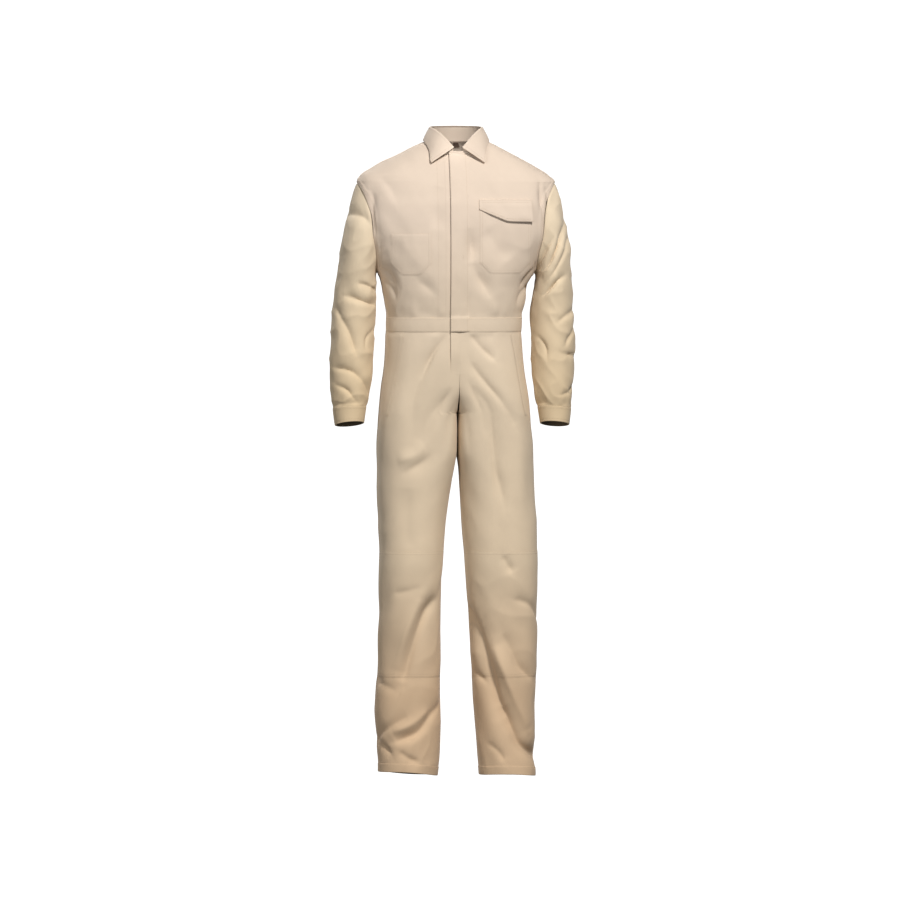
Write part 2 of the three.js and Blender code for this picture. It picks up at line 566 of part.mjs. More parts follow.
function legBackAngles(side, level) {
  const count = 7;
  const ring = legShape(side, level);
  const inset = SIDE_INSET / ring.half;
  const start = legStart(side, level);
  const far = level < CROTCH ? Math.PI + QUARTER - inset : Math.PI - start;
  return Array.from({ length: count + 1 }, (_, i) => QUARTER + inset + ((far - QUARTER - inset) * i) / count);
}

function legPanel(side, face, rows) {
  const angles = face === "front" ? legFrontAngles : legBackAngles;
  const places = (r, c) => [angles(side, rows[r])[c], rows[r]];
  const out = (point) => {
    const level = THREE.MathUtils.clamp(point.z, HEM_LEVEL, WAIST_BOTTOM);
    return new THREE.Vector3(point.x - side * Math.max(legShape(side, level).middle, 0), point.y, 0);
  };
  const count = angles(side, CROTCH).length;
  const panel = grid(places, rows.length, count, (u, v) => legPoint(side, u, v), out);
  panel.levels = rows;
  const name = side === RIGHT ? "legRight" : "legLeft";
  const sense = face === "front" ? SIDE_FADE : -SIDE_FADE;
  const fade = (r, c) => {
    const round = Math.min(1, Math.max(0, sense * Math.cos(places(r, c)[0])));
    return round * blend(WAIST_BOTTOM, WAIST_BOTTOM - CROSS_FADE, rows[r]);
  };
  return fold(panel, name, face, fade);
}

// A sleeve or a cuff as a tube of rings.
function sleevePanel(side, rows) {
  const count = 2 * ARMHOLE_STEPS;
  const places = (r, c) => [(2 * Math.PI * c) / count, rows[r]];
  const place = (u, v) => sleevePoint(side, u, Math.max(v, 0));
  const panel = grid(places, rows.length, count, place, () => new THREE.Vector3());
  const name = side === RIGHT ? "sleeveRight" : "sleeveLeft";
  panel.points.forEach((row, r) => {
    const middle = row.reduce((sum, point) => sum.add(point), new THREE.Vector3()).divideScalar(count);
    row.forEach((point, c) => {
      const normal = panel.normals[r][c];
      if (normal.dot(point.clone().sub(middle)) < 0) normal.negate();
    });
  });
  panel.points.forEach((row, r) =>
    row.forEach((point, c) => {
      const ahead = Math.sin(places(r, c)[0]);
      const lengthways = blend(0, 2, rows[r]) * (1 - blend(CUFF_ROW - 1.5, CUFF_ROW, rows[r]));
      const fade = Math.min(1, 2 * Math.abs(ahead)) * lengthways;
      const depth = foldDepth(name, ahead > 0 ? "front" : "back", point.x, point.z) * fade;
      point.addScaledVector(panel.normals[r][c], depth);
    }),
  );
  return panel;
}

// The point of a panel's column at any level, between two of its rows.
function onPanel(panel, c, level) {
  const last = panel.levels.length - 1;
  let r = 0;
  while (r < last - 1 && level < panel.levels[r + 1]) r += 1;
  const gap = panel.levels[r + 1] - panel.levels[r];
  const t = THREE.MathUtils.clamp((level - panel.levels[r]) / gap, 0, 1);
  const point = panel.points[r][c].clone().lerp(panel.points[r + 1][c], t);
  const normal = panel.normals[r][c].clone().lerp(panel.normals[r + 1][c], t).normalize();
  return [point, normal];
}

// A piece that lies on a panel, between two of its columns. top(c) and bottom(c) are its edges.
function patch(panel, from, to, top, bottom, step) {
  const tall = Math.max(...[from, to].map((c) => Math.abs(top(c) - bottom(c))));
  const count = Math.max(1, Math.round(tall / step));
  const points = [];
  const normals = [];
  for (let r = 0; r <= count; r += 1) {
    const pairs = [];
    for (let c = from; c <= to; c += 1) {
      pairs.push(onPanel(panel, c, top(c) + ((bottom(c) - top(c)) * r) / count));
    }
    points.push(pairs.map((pair) => pair[0]));
    normals.push(pairs.map((pair) => pair[1]));
  }
  return { points, normals };
}

// The strip that hides the closure, over the inner columns of the two fronts.
function strip(right, left, rows) {
  const points = [];
  const normals = [];
  for (const level of rows) {
    const [outerRight, innerRight] = [1, 0].map((c) => onPanel(right, c, level));
    const [innerLeft, outerLeft] = [0, 1].map((c) => onPanel(left, c, level));
    points.push([outerRight[0], innerRight[0].clone().lerp(innerLeft[0], 0.5), outerLeft[0]]);
    normals.push([outerRight[1], innerRight[1].clone().add(innerLeft[1]).normalize(), outerLeft[1]]);
  }
  return { points, normals };
}

// Two panels in one, one above the other.
function stacked(upper, lower) {
  return {
    levels: [...upper.levels, ...lower.levels],
    points: [...upper.points, ...lower.points],
    normals: [...upper.normals, ...lower.normals],
  };
}

// Angles round the neck for the collar, from the left front edge by the back to the right one.
function neckTurns() {
  const half = [COLLAR_START, 9, 18, 29, 42, 57, 73, 90, 112, 134, 157];
  const left = half.map((turn) => [LEFT, turn]);
  const right = half.reverse().map((turn) => [RIGHT, turn]);
  return [...left, [LEFT, 180], ...right];
}

function foldLine(side, turn) {
  const angle = radians(turn);
  const depth = turn < 90 ? COLLAR_TOP.front : COLLAR_TOP.back;
  const x = side * COLLAR_TOP.half * Math.sin(angle);
  return new THREE.Vector3(x, -depth * Math.cos(angle), collarRing.top(turn));
}

// The fold's own directions: out from the neck, and up across the fold line.
function collarFrame(side, turn) {
  const out = new THREE.Vector3(side * Math.sin(radians(turn)), -Math.cos(radians(turn)), 0);
  const along = foldLine(side, turn + 1).sub(foldLine(side, turn - 1)).normalize();
  out.addScaledVector(along, -out.dot(along)).normalize();
  const up = along.cross(out);
  if (up.z < 0) up.negate();
  const core = foldLine(side, turn).addScaledVector(up, -COLLAR_ROLL);
  return { out, up, core };
}

// The collar's outer edge, lying on the shoulders and the chest.
function collarEdge(side, turn) {
  const level = collarRing.level(turn);
  const angle = radians(collarRing.turn(turn));
  const around = torsoPoint(side, angle + 0.01, level).sub(torsoPoint(side, angle - 0.01, level));
  const upward = torsoPoint(side, angle, level + 0.5).sub(torsoPoint(side, angle, level - 0.5));
  const away = around.cross(upward).normalize();
  const edge = torsoPoint(side, angle, level);
  if (away.dot(bodyOut(edge)) < 0) away.negate();
  return edge.addScaledVector(away, COLLAR_LIFT);
}

// The fall rolls over the top of the stand and comes down outside to its edge.
function collarFall() {
  const roll = [-30, 25, 85];
  const drop = [0.3, 0.62, 1];
  const frames = neckTurns().map(([side, turn]) => collarFrame(side, turn));
  const line = (part) =>
    neckTurns().map(([side, turn], c) => {
      const { out, up, core } = frames[c];
      const round = (angle) =>
        core
          .clone()
          .addScaledVector(out, COLLAR_ROLL * Math.sin(radians(angle)))
          .addScaledVector(up, COLLAR_ROLL * Math.cos(radians(angle)));
      if (part < roll.length) return round(roll[part]);
      const share = drop[part - roll.length];
      const start = round(roll[roll.length - 1]);
      const bulge = COLLAR_BULGE * Math.sin(Math.PI * share);
      return start.lerp(collarEdge(side, turn), share).addScaledVector(out, bulge);
    });
  const points = Array.from({ length: roll.length + drop.length }, (_, part) => line(part));
  const reference = (r, c) => frames[c].out.clone().addScaledVector(frames[c].up, r < roll.length ? 1 : 0.3);
  return { points, normals: gridNormals(points, reference) };
}

// The stand rises from the neck seam to the fold.
function collarStand() {
  const frames = neckTurns().map(([side, turn]) => collarFrame(side, turn));
  const line = (share) =>
    neckTurns().map(([side, turn], c) => {
      const base = torsoPoint(side, radians(turn), NECK_LEVEL);
      base.z += SEAM_GAP;
      const top = frames[c].core.clone().addScaledVector(frames[c].up, STAND_RISE);
      return base.lerp(top.addScaledVector(frames[c].out, -0.5), share);
    });
  const points = [0, 0.5, 1].map(line);
  return { points, normals: gridNormals(points, (r, c) => frames[c].out) };
}

// Outward directions of a free grid, from its own points.
function gridNormals(points, reference) {
  const rows = points.length;
  const columns = points[0].length;
  return points.map((row, r) =>
    row.map((point, c) => {
      const down = points[Math.min(r + 1, rows - 1)][c].clone().sub(points[Math.max(r - 1, 0)][c]);
      const across = row[Math.min(c + 1, columns - 1)].clone().sub(row[Math.max(c - 1, 0)]);
      const normal = down.cross(across).normalize();
      return normal.dot(reference(r, c)) < 0 ? normal.negate() : normal;
    }),
  );
}

// A small blank label inside the back of the neck.
function neckLabel() {
  const half = torsoRing.left(NECK_LEVEL);
  const rows = [LABEL.top, (LABEL.top + LABEL.bottom) / 2, LABEL.bottom];
  const places = (r, c) => [Math.asin((LABEL.off + (c - 1) * LABEL.half) / half), rows[r]];
  const place = (u, v) => (u < 0 ? torsoPoint(RIGHT, Math.PI + u, v) : torsoPoint(LEFT, Math.PI - u, v));
  const panel = grid(places, rows.length, 3, place, bodyOut);
  panel.points.forEach((row, r) =>
    row.forEach((point, c) => point.addScaledVector(panel.normals[r][c], -(CLOTH + LAY_GAP))),
  );
  return wall("neck_label", panel, LABEL.thick, COLOURS.label);
}

const suit = new THREE.Group();
suit.name = "boiler_suit";

// Body of the suit
const front = { right: frontPanel(RIGHT, torsoLevels), left: frontPanel(LEFT, torsoLevels) };
const band = { right: frontPanel(RIGHT, waistLevels), left: frontPanel(LEFT, waistLevels) };
suit.add(wall("front_right", front.right, CLOTH, COLOURS.body));
suit.add(wall("front_left", front.left, CLOTH, COLOURS.body));
suit.add(wall("back", backPanel(torsoLevels), CLOTH, COLOURS.body));
suit.add(wall("waistband_front_right", band.right, DOUBLE, COLOURS.trim));
suit.add(wall("waistband_front_left", band.left, DOUBLE, COLOURS.trim));
suit.add(wall("waistband_back", backPanel(waistLevels), DOUBLE, COLOURS.trim));

// Collar
suit.add(wall("collar_stand", collarStand(), CLOTH, COLOURS.trim));
suit.add(wall("collar_fall", collarFall(), DOUBLE, COLOURS.trim));
suit.add(neckLabel());

// Legs with the slanted side pockets and the knee patches
const leg = {};
for (const [name, side] of [["right", RIGHT], ["left", LEFT]]) {
  leg[name] = legPanel(side, "front", legLevels);
  suit.add(wall("leg_front_" + name, leg[name], CLOTH, COLOURS.body));
  suit.add(wall("leg_back_" + name, legPanel(side, "back", legLevels), CLOTH, COLOURS.body));
  const welt = patch(leg[name], 4, 5, () => SLANT.top, () => SLANT.bottom, PATCH_STEP.welt);
  suit.add(wall("side_pocket_welt_" + name, welt, CLOTH, COLOURS.trim, { lift: LAY_GAP }));
  const last = leg[name].points[0].length - 1;
  const knee = patch(leg[name], 0, last, () => KNEE.top, () => KNEE.bottom, PATCH_STEP.knee);
  suit.add(wall("knee_patch_" + name, knee, CLOTH, COLOURS.body, { lift: LAY_GAP }));
}

// Hidden closure: the strip down the chest and the flap of the fly below it
const upper = strip(stacked(front.right, band.right), stacked(front.left, band.left), [
  ...torsoLevels,
  ...waistLevels,
]);
suit.add(wall("placket", upper, DOUBLE, COLOURS.body, { lift: LAY_GAP }));
const flyLevels = levels(WAIST_BOTTOM - 1.2, FLY_END, 26);
suit.add(wall("fly_flap", strip(leg.right, leg.left, flyLevels), CLOTH, COLOURS.body, { lift: LAY_GAP }));

// Chest pockets: a patch on each side, and a slanted flap on the left one
const pocketLeft = patch(
  front.left,
  2,
  6,
  () => LEFT_POCKET.top,
  (c) => LEFT_POCKET.bottom + (c === 2 || c === 6 ? LEFT_POCKET.corner : 0),
  PATCH_STEP.left,
);
suit.add(wall("chest_pocket_left", pocketLeft, CLOTH, COLOURS.body, { lift: LAY_GAP }));
const flapEdge = { 2: -139, 3: -153, 4: -165, 5: -168, 6: -168 };
const flap = patch(front.left, 2, 6, () => FLAP_TOP, (c) => flapEdge[c], PATCH_STEP.flap);
const flapLift = (r) => (r === 0 ? LAY_GAP : LAY_GAP + CLOTH + FLAP_SPRING.gap + r * FLAP_SPRING.each);
suit.add(wall("chest_pocket_flap_left", flap, DOUBLE, COLOURS.body, { lift: flapLift }));
const pocketRight = patch(
  front.right,
  2,
  5,
  () => RIGHT_POCKET.top,
  (c) => RIGHT_POCKET.bottom + (c === 2 || c === 5 ? RIGHT_POCKET.corner : 0),
  PATCH_STEP.right,
);
suit.add(wall("chest_pocket_right", pocketRight, CLOTH, COLOURS.body, { lift: LAY_GAP }));

// Sleeves and cuffs
const elbowRows = [6.7, 7.4, 8.1, 8.8, 9.5, 10.3, 11.1, 11.9, 12.5];
const sleeveRows = [0, 0.5, 1.2, 2, 3, 4, 5, 6, ...elbowRows, CUFF_ROW - SEAM_ROW];
const cuffRows = [CUFF_ROW + SEAM_ROW, 14, 15];
for (const [name, side] of [["right", RIGHT], ["left", LEFT]]) {
  suit.add(wall("sleeve_" + name, sleevePanel(side, sleeveRows), CLOTH, COLOURS.sleeve, { tube: true }));
  suit.add(wall("cuff_" + name, sleevePanel(side, cuffRows), DOUBLE, COLOURS.sleeve, { tube: true }));
}

export default suit;
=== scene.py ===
import itertools
import math

import bpy
import numpy as np
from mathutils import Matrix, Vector


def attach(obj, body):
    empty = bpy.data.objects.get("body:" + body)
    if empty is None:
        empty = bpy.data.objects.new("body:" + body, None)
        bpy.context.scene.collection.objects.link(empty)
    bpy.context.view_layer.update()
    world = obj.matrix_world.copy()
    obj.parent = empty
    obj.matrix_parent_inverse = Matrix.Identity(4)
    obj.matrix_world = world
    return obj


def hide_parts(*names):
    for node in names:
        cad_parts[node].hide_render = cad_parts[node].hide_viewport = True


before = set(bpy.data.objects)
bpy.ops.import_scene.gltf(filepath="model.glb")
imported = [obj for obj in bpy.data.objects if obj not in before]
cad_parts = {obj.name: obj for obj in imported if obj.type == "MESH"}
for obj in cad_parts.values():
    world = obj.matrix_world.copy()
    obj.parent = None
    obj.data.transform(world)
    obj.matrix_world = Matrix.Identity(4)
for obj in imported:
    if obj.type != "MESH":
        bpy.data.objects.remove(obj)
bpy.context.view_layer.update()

# Boiler suit in cotton twill, in its worn shape with no wearer inside.
# The cloth is worked out in millimetres, as in the part's source, and made in metres.

MM = 0.001
BODY = "root"
QUARTER = math.pi / 2
RIGHT = -1
LEFT = 1
SIDES = {RIGHT: "right", LEFT: "left"}

# Cloth
CLOTH = 1.3
DOUBLE = 1.9
SOLID_CLOTH = 1.6
BAND_THICK = 0.6
PATCH_THICK = 0.6
PATCH_LIFT = 0.95
LAY = 0.8
SEAM_GAP = 0.3
BAND_GAP = 0.5
BAND_LAP = 1.0
MESH_STEP = 5.0
EASE_REACH = 36.0
FELL_WIDTH = 9.0
FELL_RISE = 0.7
ARMHOLE_RISE = 1.7
HEM_WIDTH = 20.0
HEM_RISE = 0.9

# How far the two stitch rows of a fell seam and of a pocket lie from its edge, and how deep a
# pocket's rows press in
FELL_STITCH = (1.8, 7.6)
EDGE_STITCH = (2, 7.5)
SOFT_DIP = 0.15

# Levels of the main seams
NECK_LEVEL = 26
SHOULDER_POINT = -72
SHOULDER_ROUND = 17
SHOULDER_DIP = 6.5
ARMPIT = -288
WAIST_TOP = -398
WAIST_BOTTOM = -430
FLY_END = -533
CROTCH = -628
HEM_LEVEL = -1500
HEM_START = -1380

# Where the legs lie flat against each other: the levels where that starts, is full, ends and is gone
FORK = (-505, -585, -690, -830)
FORK_FLAT = 0.36
FORK_GROOVE = dict(start=-525, full=-590, depth=1.8, width=8)

# Closure, pockets and patches
PLACKET_HALF = 22
FLAP_TOP = -115
FLAP_SPAN = (46, 173)
SLANT = dict(top=-437, bottom=-631, top_x=128, bottom_x=164, width=13)
KNEE = dict(top=-955, bottom=-1258)
LABEL = dict(top=25, bottom=14, half=5.5, off=4, thick=1.0)

ARMHOLE = dict(level=(SHOULDER_POINT + ARMPIT) / 2, half=(SHOULDER_POINT - ARMPIT) / 2, front=73, back=76)
ARMHOLE_ROWS = 3
CUFF_ROW = 13
CUFF_END = 15
SEAM_ROW = 0.008
CUFF_TILT = 7
HEMS = {RIGHT: dict(outer=-1487, inner=-1497, back=6), LEFT: dict(outer=-1498, inner=-1495, back=5)}


def table(names, *rows):
    """A table's rows as dictionaries, from its columns' names."""
    return [dict(zip(names.split(), row)) for row in rows]


def creases(*rows):
    return table("left right depth path", *rows)


# Chest and waist rings: half widths, depths from the middle, the dip of the centre front, and
# square, which is under 1 on a boxier ring.
TORSO = table(
    "z right left front back drop square",
    (26, 72, 72, 61, 60, 34, 0.98),
    (18, 90, 90, 65, 67, 31, 0.96),
    (0, 128, 125, 73, 79, 25, 0.94),
    (-19, 166, 161, 81, 88, 18, 0.92),
    (-38, 201, 194, 89, 96, 11, 0.89),
    (-58, 231, 224, 96, 102, 5.2, 0.86),
    (-72, 238, 237, 101, 107, 2.6, 0.84),
    (-100, 237, 236, 110, 115, 0.5, 0.82),
    (-130, 236, 235, 119, 121, 0, 0.8),
    (-190, 228, 228, 127, 125, 0, 0.8),
    (-250, 203, 202, 130, 123, 0, 0.8),
    (-288, 188, 187, 130, 119, 0, 0.81),
    (-326, 178, 169, 127, 114, 0, 0.82),
    (-365, 172, 165, 121, 109, 0, 0.84),
    (-398, 167, 158, 117, 106, 0, 0.85),
    (-430, 168, 156, 116, 107, 0, 0.85),
)

# Leg rings: outer and inner edges from the middle line. An inner edge below 0 is past the
# middle, where the rise seam cuts the ring.
LEGS = table(
    "z out_right in_right out_left in_left front back y square",
    (-430, 168, -168, 156, -156, 116, 107, 0, 0.85),
    (-480, 170, -128, 159, -122, 117, 115, 0, 0.85),
    (-518, 173, -98, 163, -94, 116, 122, 0, 0.85),
    (-557, 178, -58, 169, -56, 114, 126, 0, 0.86),
    (-580, 180.5, -31, 172.4, -30, 111.7, 126, 0, 0.845),
    (-598, 182, -13, 174.4, -13, 109.8, 124.8, 0, 0.83),
    (-614, 183.3, -4, 175.7, -4, 108.1, 122.9, 0, 0.82),
    (-628, 184.6, 0.4, 176.7, 0.4, 106.6, 120.9, 0, 0.81),
    (-650, 186.8, 0.4, 178, 0.4, 104.3, 117.7, 0, 0.805),
    (-715, 191, 1.0, 184, 1.0, 99, 110, 0, 0.82),
    (-758, 190, 6, 185, 6, 97, 106, -1, 0.86),
    (-826, 190, 17, 188, 10, 94, 100, -2, 0.9),
    (-893, 187, 26, 193, 14, 91, 95, -4, 0.92),
    (-960, 185, 31, 194, 19, 89, 90, -5, 0.92),
    (-1027, 185, 36, 194, 24, 86, 86, -4, 0.92),
    (-1094, 183, 38, 193, 29, 83, 84, 0, 0.93),
    (-1162, 187, 38, 194, 34, 80, 83, 4, 0.94),
    (-1229, 188, 38, 192, 38, 78, 81, 6, 0.94),
    (-1296, 193, 38, 190, 41, 77, 79, 7, 0.95),
    (-1363, 194, 37, 190, 46, 75, 77, 7, 0.96),
    (-1430, 192, 38, 190, 52, 74, 76, 6, 0.97),
    (-1500, 188, 44, 192, 57, 73, 75, 5, 0.98),
)

# Sleeve rings, from the armhole to the end of the cuff.
SLEEVES = table(
    "row out_x out_z in_x in_z front back y swing",
    (0, 238, -72, 188, -288, 73, 76, 0, 0),
    (1, 246.5, -93, 190.5, -291, 76, 79, 0, 0),
    (2, 254, -122, 192, -296, 78, 81, 0, 0),
    (3, 265, -165, 192, -304, 79, 82, 0, 0.5),
    (4, 275, -210, 191, -315, 79, 81, 0, 1.5),
    (5, 280, -262, 190, -332, 77, 78, 0, 3),
    (6, 284, -316, 187, -355, 74, 74, -1, 5),
    (7, 289, -366, 186, -387, 71, 71, -3, 6.5),
    (8, 293, -415, 188, -425, 69, 68, -6, 8),
    (9, 295, -462, 189, -466, 67, 65, -10, 9),
    (10, 295, -508, 191, -508, 64, 62, -15, 10),
    (11, 293, -551, 194, -549, 60, 57, -21, 11),
    (12, 290, -588, 200, -585, 54, 51, -27, 12),
    (13, 286, -614, 206, -610, 46, 45, -31, 12),
    (14, 284, -633, 209, -629, 44, 43, -33, 12),
    (15, 281, -654, 212, -649, 43, 42, -35, 12),
)

# Collar: height of the fold line, and where the outer edge lies on the shoulders.
COLLAR = table(
    "angle top level turn",
    (0, 3, -17, 19),
    (12, 14, -11, 24),
    (26, 31, 5, 33),
    (45, 47, 17, 47),
    (65, 56, 22, 66),
    (90, 60, 23.5, 90),
    (135, 63, 20, 134),
    (180, 64, 17, 180),
)
COLLAR_TOP = dict(half=62, front=66, back=56)
COLLAR_ROLL = 4
COLLAR_LIFT = 4.8
COLLAR_BULGE = 1.0
COLLAR_START = 9
ROLL_ROWS = 12

# Creases for each part and face. Each runs along its path of (x, z) places. left and
# right are its widths on either side of the path, and depth is below 0 for a trough.
CREASES = {
    ("leg_right", "front"): creases(
        (13, 24, -7.5, [(-47, -1066), (-60, -1085), (-82, -1116), (-112, -1195), (-134, -1275)]),
        (26, 14, 4.5, [(-91, -1062), (-118, -1130), (-151, -1245)]),
        (10, 20, -5.5, [(-40, -1325), (-60, -1350), (-96, -1392), (-156, -1418)]),
        (16, 10, 3, [(-70, -1335), (-110, -1368), (-160, -1390)]),
        (9, 14, -3, [(-118, -1350), (-150, -1368), (-196, -1412)]),
        (8, 14, -3.2, [(-196, -1402), (-176, -1432), (-158, -1458)]),
        (8, 12, -2.5, [(-142, -1443), (-118, -1462), (-92, -1472)]),
        (9, 12, -1.4, [(-156, -1056), (-125, -1050), (-92, -1041)]),
        (10, 20, -2.0, [(-140, -772), (-100, -748), (-64, -722)]),
        (22, 16, 2.2, [(-150, -740), (-110, -728), (-80, -705)]),
        (9, 12, -2, [(-192, -1255), (-178, -1275), (-150, -1290)]),
        (18, 26, -2.2, [(-38, -438), (-66, -480), (-92, -530), (-113, -624), (-118, -700)]),
        (6, 10, -2.6, [(-32, -438), (-68, -490), (-94, -545)]),
        (6, 9, -1.3, [(-20, -560), (-38, -600), (-52, -668)]),
        (14, 18, -1.4, [(-12, -560), (-34, -590), (-74, -640), (-100, -700)]),
        (10, 14, -1.1, [(-6, -600), (-22, -640), (-34, -715)]),
        (20, 26, -2, [(-120, -800), (-126, -880), (-118, -950)]),
    ),
    ("leg_right", "back"): creases(
        (14, 22, -5.5, [(-34, -1022), (-84, -1004), (-150, -978)]),
        (11, 17, -4.5, [(-44, -1062), (-100, -1050), (-168, -1068)]),
        (14, 24, -6, [(-168, -1100), (-124, -1140), (-84, -1192), (-56, -1240)]),
        (12, 20, -4.5, [(-54, -1286), (-96, -1330), (-140, -1396)]),
        (9, 14, -3, [(-170, -1420), (-130, -1438), (-90, -1440)]),
        (14, 22, -3.6, [(-24, -648), (-70, -684), (-128, -716)]),
        (12, 18, -2.6, [(-20, -700), (-60, -742), (-110, -772)]),
        (16, 24, -2.4, [(-60, -446), (-74, -500), (-70, -560)]),
    ),
    ("leg_left", "front"): creases(
        (6, 9, -1.3, [(18, -548), (44, -600), (66, -680)]),
        (24, 13, -7.5, [(26, -1085), (42, -1125), (66, -1198), (99, -1315), (122, -1360)]),
        (22, 12, -7, [(104, -1322), (135, -1385), (160, -1425), (196, -1455)]),
        (12, 24, 5.5, [(84, -1178), (108, -1245), (135, -1315), (168, -1388)]),
        (8, 12, -3, [(104, -968), (117, -988), (127, -1008)]),
        (9, 13, -3.4, [(134, -1072), (160, -1078), (180, -1092), (198, -1130)]),
        (10, 16, -3.4, [(104, -1152), (124, -1190), (146, -1232), (182, -1266)]),
        (7, 11, -2.4, [(40, -1244), (52, -1258), (68, -1276)]),
        (8, 12, -2.2, [(74, -1420), (96, -1440), (112, -1468)]),
        (8, 13, -3.0, [(26, -438), (50, -466), (86, -500)]),
        (9, 14, -2.8, [(24, -500), (58, -548), (101, -598), (136, -660)]),
        (10, 16, -2.6, [(22, -552), (46, -580), (70, -616), (84, -720), (92, -890)]),
        (10, 16, -1.1, [(4, -604), (18, -650), (26, -730)]),
        (10, 14, -2.2, [(76, -738), (96, -790), (112, -866)]),
    ),
    ("leg_left", "back"): creases(
        (14, 22, -5.5, [(34, -1040), (90, -1018), (156, -996)]),
        (10, 16, -4, [(50, -1080), (110, -1072), (170, -1094)]),
        (14, 26, -6, [(168, -1114), (126, -1158), (92, -1218), (74, -1262)]),
        (12, 20, -4.5, [(66, -1310), (110, -1352), (160, -1414)]),
        (9, 13, -2.6, [(176, -1440), (140, -1452), (108, -1448)]),
        (14, 22, -3.6, [(26, -652), (76, -694), (126, -730)]),
        (12, 18, -2.8, [(22, -690), (60, -736), (104, -786)]),
        (16, 24, -2.4, [(66, -444), (80, -496), (74, -566)]),
    ),
    ("torso", "front"): creases(
        (12, 20, -3.6, [(22, -182), (26, -225), (28, -268)]),
        (12, 22, -3.6, [(28, -262), (44, -300), (76, -352)]),
        (22, 26, -3, [(62, -186), (88, -222), (116, -262)]),
        (13, 20, -1.4, [(-188, -52), (-166, -88), (-142, -134)]),
        (7, 10, -3, [(196, -62), (199, -108), (204, -158)]),
        (7, 10, -2.6, [(212, -80), (216, -124), (212, -170)]),
        (9, 13, -2.6, [(-204, -96), (-206, -150), (-196, -205)]),
        (7, 12, -3, [(184, -278), (164, -300), (146, -334)]),
        (7, 11, -2.4, [(176, -312), (156, -334), (140, -366)]),
        (8, 12, -3, [(-188, -276), (-172, -292), (-150, -322)]),
        (7, 10, -2.2, [(-178, -306), (-160, -328), (-150, -352)]),
        (12, 18, -1.6, [(-110, -296), (-84, -322), (-52, -344)]),
        (16, 24, -2.2, [(-46, -80), (-58, -130), (-60, -190)]),
    ),
    ("torso", "back"): creases(
        (18, 30, -5.5, [(-176, -128), (-150, -200), (-118, -290)]),
        (18, 30, -5.5, [(174, -136), (150, -210), (116, -300)]),
        (10, 18, -2.6, [(-120, -340), (-40, -352), (50, -350), (108, -338)]),
        (9, 14, -1.8, [(-90, -312), (-30, -322), (36, -318)]),
        (16, 22, -2.6, [(-30, -20), (-64, -70), (-110, -110)]),
        (16, 22, -2.6, [(34, -18), (70, -72), (118, -116)]),
    ),
    ("sleeve_right", "front"): creases(
        (10, 16, -4.2, [(-284, -138), (-258, -149), (-214, -168)]),
        (12, 18, -3.2, [(-279, -170), (-284, -215), (-284, -268)]),
        (10, 18, -5.2, [(-276, -344), (-250, -352), (-196, -366)]),
        (12, 22, -4.6, [(-292, -372), (-268, -424), (-240, -492)]),
        (9, 14, -4, [(-300, -516), (-250, -528), (-212, -582)]),
        (9, 13, -3, [(-296, -556), (-268, -572), (-246, -598)]),
        (8, 13, -3.4, [(-196, -330), (-214, -320), (-244, -316)]),
        (8, 12, -2.6, [(-196, -420), (-214, -440), (-222, -470)]),
    ),
    ("sleeve_right", "back"): creases(
        (10, 16, -5, [(-200, -384), (-232, -400), (-286, -412)]),
        (9, 14, -4.4, [(-204, -430), (-240, -436), (-290, -462)]),
        (12, 18, -4.4, [(-208, -196), (-228, -262), (-262, -330)]),
        (9, 14, -3.4, [(-286, -500), (-252, -528), (-214, -548)]),
    ),
    ("sleeve_left", "front"): creases(
        (9, 15, -5, [(274, -158), (248, -212), (206, -286)]),
        (8, 13, -3.6, [(276, -196), (256, -244), (216, -306)]),
        (8, 12, -3.4, [(232, -204), (208, -244), (192, -286)]),
        (8, 14, -4.2, [(262, -296), (238, -312), (200, -346)]),
        (8, 13, -3.8, [(288, -378), (266, -390), (238, -408)]),
        (8, 13, -3.4, [(290, -412), (276, -436), (258, -464)]),
        (8, 12, -3.2, [(238, -476), (258, -484), (290, -490)]),
        (9, 13, -3, [(288, -560), (268, -576), (240, -586)]),
        (8, 12, -3, [(190, -440), (206, -462), (214, -500)]),
    ),
    ("sleeve_left", "back"): creases(
        (10, 16, -5, [(202, -380), (234, -398), (282, -406)]),
        (9, 14, -4.4, [(206, -424), (240, -434), (286, -458)]),
        (12, 18, -4.4, [(208, -200), (226, -266), (258, -334)]),
        (9, 14, -3.4, [(284, -496), (250, -524), (208, -546)]),
    ),
}


def column(rows, name, by):
    """A smooth curve through one column of a table, which never swings past its rows."""
    rows = sorted(rows, key=lambda row: row[by])
    at = np.array([row[by] for row in rows], float)
    value = np.array([row[name] for row in rows], float)
    rise = np.diff(value) / np.diff(at)
    before = np.concatenate([rise[:1], rise])
    after = np.concatenate([rise, rise[-1:]])
    same_way = before * after > 0
    slope = np.where(same_way, 2 * before * after / np.where(same_way, before + after, 1), 0)

    def curve(where):
        x = np.clip(where, at[0], at[-1])
        i = np.clip(np.searchsorted(at, x, side="right") - 1, 0, len(at) - 2)
        span = at[i + 1] - at[i]
        t = (x - at[i]) / span
        bend = t * t * (3 - 2 * t)
        first = t * (1 - t) ** 2 * slope[i] * span
        second = t * t * (t - 1) * slope[i + 1] * span
        return value[i] + bend * (value[i + 1] - value[i]) + first + second

    return curve


def curves(rows, by):
    """All columns of a table as curves, by name."""
    return {name: column(rows, name, by) for name in rows[0] if name != by}


def power(value, exponent):
    """A power that keeps the sign, for rings squarer than an ellipse."""
    return np.sign(value) * np.abs(value) ** exponent


def angle_at(share, square):
    """The angle at which a ring reaches a share of its half width."""
    return np.arcsin(power(np.clip(share, -1, 1), 1 / square))


def blend(start, end, at):
    """A smooth step from 0 at start to 1 at end."""
    t = np.clip((at - start) / (end - start), 0, 1)
    return t * t * (3 - 2 * t)


